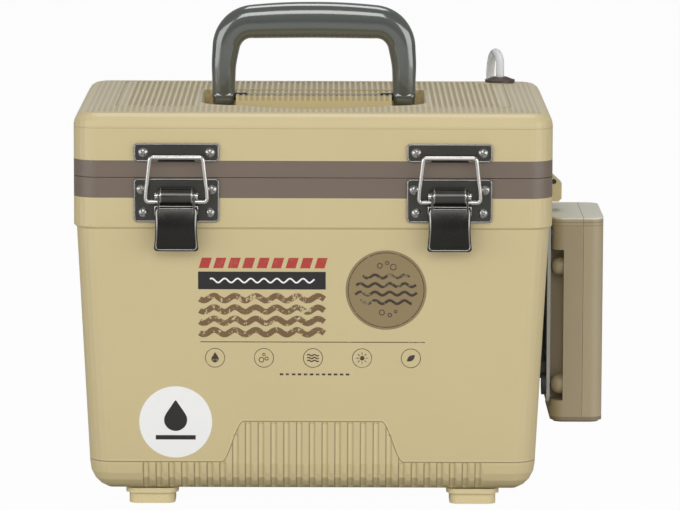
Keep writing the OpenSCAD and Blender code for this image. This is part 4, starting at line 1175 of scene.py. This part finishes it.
class BUCKET_OT_stage(bpy.types.Operator):
    """Makes the floor, the sky, the lights and the camera"""

    bl_idname = "bucket.stage"
    bl_label = "Make the Stage"

    def execute(self, context):
        v, scene = look(), context.scene
        self.camera(scene, v)
        self.floor()
        self.sky(scene, v.sky)
        self.lamp("key_light", v.key, 1.3, 0.8, (-0.1, -1.9, 1.3))
        self.lamp("left_light", v.fill * 0.9, 1.9, 1.0, (-1.55, -1.35, 0.5))
        self.lamp("right_light", v.fill, 1.9, 1.0, (1.6, -1.35, 0.5))
        self.lamp("top_light", v.fill * 0.7, 1.2, 0.8, (0.1, 0.3, 1.9))
        scene.view_settings.view_transform = "Standard"
        return {"FINISHED"}

    def camera(self, scene, v):
        data = bpy.data.cameras.new("view_camera")
        data.lens, data.sensor_width = v.lens, 36.0
        data.clip_start, data.clip_end = 0.05, 50.0
        made = bpy.data.objects.new("view_camera", data)
        scene.collection.objects.link(made)
        made.matrix_world = (
            Matrix.Translation((v.camera_x, v.camera_y, v.camera_z))
            @ Matrix.Rotation(v.yaw, 4, "Z")
            @ Matrix.Rotation(math.radians(90) - v.pitch, 4, "X")
            @ Matrix.Rotation(v.roll, 4, "Z")
        )
        scene.camera = made

    def seen(self, web):
        """1 for what the camera sees, directly or through clear plastic."""
        path = web.add("ShaderNodeLightPath")
        return web.most(path.outputs["Is Camera Ray"], path.outputs["Is Transmission Ray"])

    def floor(self):
        """A pale floor that shows white to the camera and keeps a soft shadow."""
        web, shader, _ = blank("floor_white")
        web.set(shader, Base_Color=(0.6, 0.6, 0.59, 1.0), Roughness=0.7)
        out = next(n for n in web.tree.nodes if n.bl_idname == "ShaderNodeOutputMaterial")
        mixer = web.add("ShaderNodeMixShader")
        glow = web.add("ShaderNodeEmission").outputs[0]
        web.set(out, Surface=web.fill(mixer, web.times(self.seen(web), 0.97), shader.outputs[0], glow))
        bm = bmesh.new()
        a, b = [[bm.verts.new((r * c, r * s, -0.0002)) for c, s in around(96)] for r in (0.001, 12.0)]
        for k in range(96):
            bm.faces.new((a[k], b[k], b[(k + 1) % 96], a[(k + 1) % 96]))
        bm.faces.new(a)
        thing("floor", bm, "floor_white", angle=None)

    def sky(self, scene, strength):
        """Even light from all round, and white where the camera sees past the floor."""
        scene.world = bpy.data.worlds.new("even_sky")
        scene.world.use_nodes = True
        web = Web(scene.world.node_tree)
        web.tree.nodes.clear()
        ground = web.add("ShaderNodeBackground")
        level = web.ramp(self.seen(web), 0.0, 1.0, strength, 1.0, "LINEAR")
        shine = web.set(ground, Color=(1.0, 1.0, 1.0, 1.0), Strength=level)[0]
        web.set(web.add("ShaderNodeOutputWorld"), Surface=shine)

    def lamp(self, name, power, wide, tall, place):
        data = bpy.data.lights.new(name, "AREA")
        data.shape, data.size, data.size_y, data.energy = "RECTANGLE", wide, tall, power
        made = bpy.data.objects.new(name, data)
        bpy.context.scene.collection.objects.link(made)
        made.location = place
        made.rotation_mode = "QUATERNION"
        made.rotation_quaternion = (Vector((0.0, 0.0, 0.14)) - Vector(place)).to_track_quat("-Z", "Y")


class BUCKET_PT_panel(bpy.types.Panel):
    """Lists the bucket's steps and settings"""

    bl_idname = "BUCKET_PT_panel"
    bl_label = "Bait Bucket"
    bl_space_type = "VIEW_3D"
    bl_region_type = "UI"
    bl_category = "Bait Bucket"

    def draw(self, context):
        layout = self.layout
        for step in STEPS:
            layout.operator(step.bl_idname)
        for group in (colours(), sizes(), look()):
            box = layout.box()
            for name in group.bl_rna.properties.keys():
                if name not in ("rna_type", "name"):
                    box.prop(group, name)


STEPS = (
    BUCKET_OT_stage, BUCKET_OT_finishes, BUCKET_OT_air_line, BUCKET_OT_box, BUCKET_OT_lid, BUCKET_OT_hinges,
    BUCKET_OT_handle, BUCKET_OT_latches, BUCKET_OT_pump, BUCKET_OT_prints,
)
GROUPS = (("bucket_colours", BucketColours), ("bucket_sizes", BucketSizes), ("bucket_view", BucketView))


def register():
    for kind in [g for _, g in GROUPS] + list(STEPS) + [BUCKET_PT_panel]:
        bpy.utils.register_class(kind)
    for name, kind in GROUPS:
        setattr(bpy.types.Scene, name, PointerProperty(type=kind))


def unregister():
    for name, _ in GROUPS:
        delattr(bpy.types.Scene, name)
    for kind in reversed([g for _, g in GROUPS] + list(STEPS) + [BUCKET_PT_panel]):
        bpy.utils.unregister_class(kind)


def main():
    register()
    for step in STEPS:
        getattr(bpy.ops.bucket, step.bl_idname.split(".")[1])()


if __name__ == "__main__":
    main()
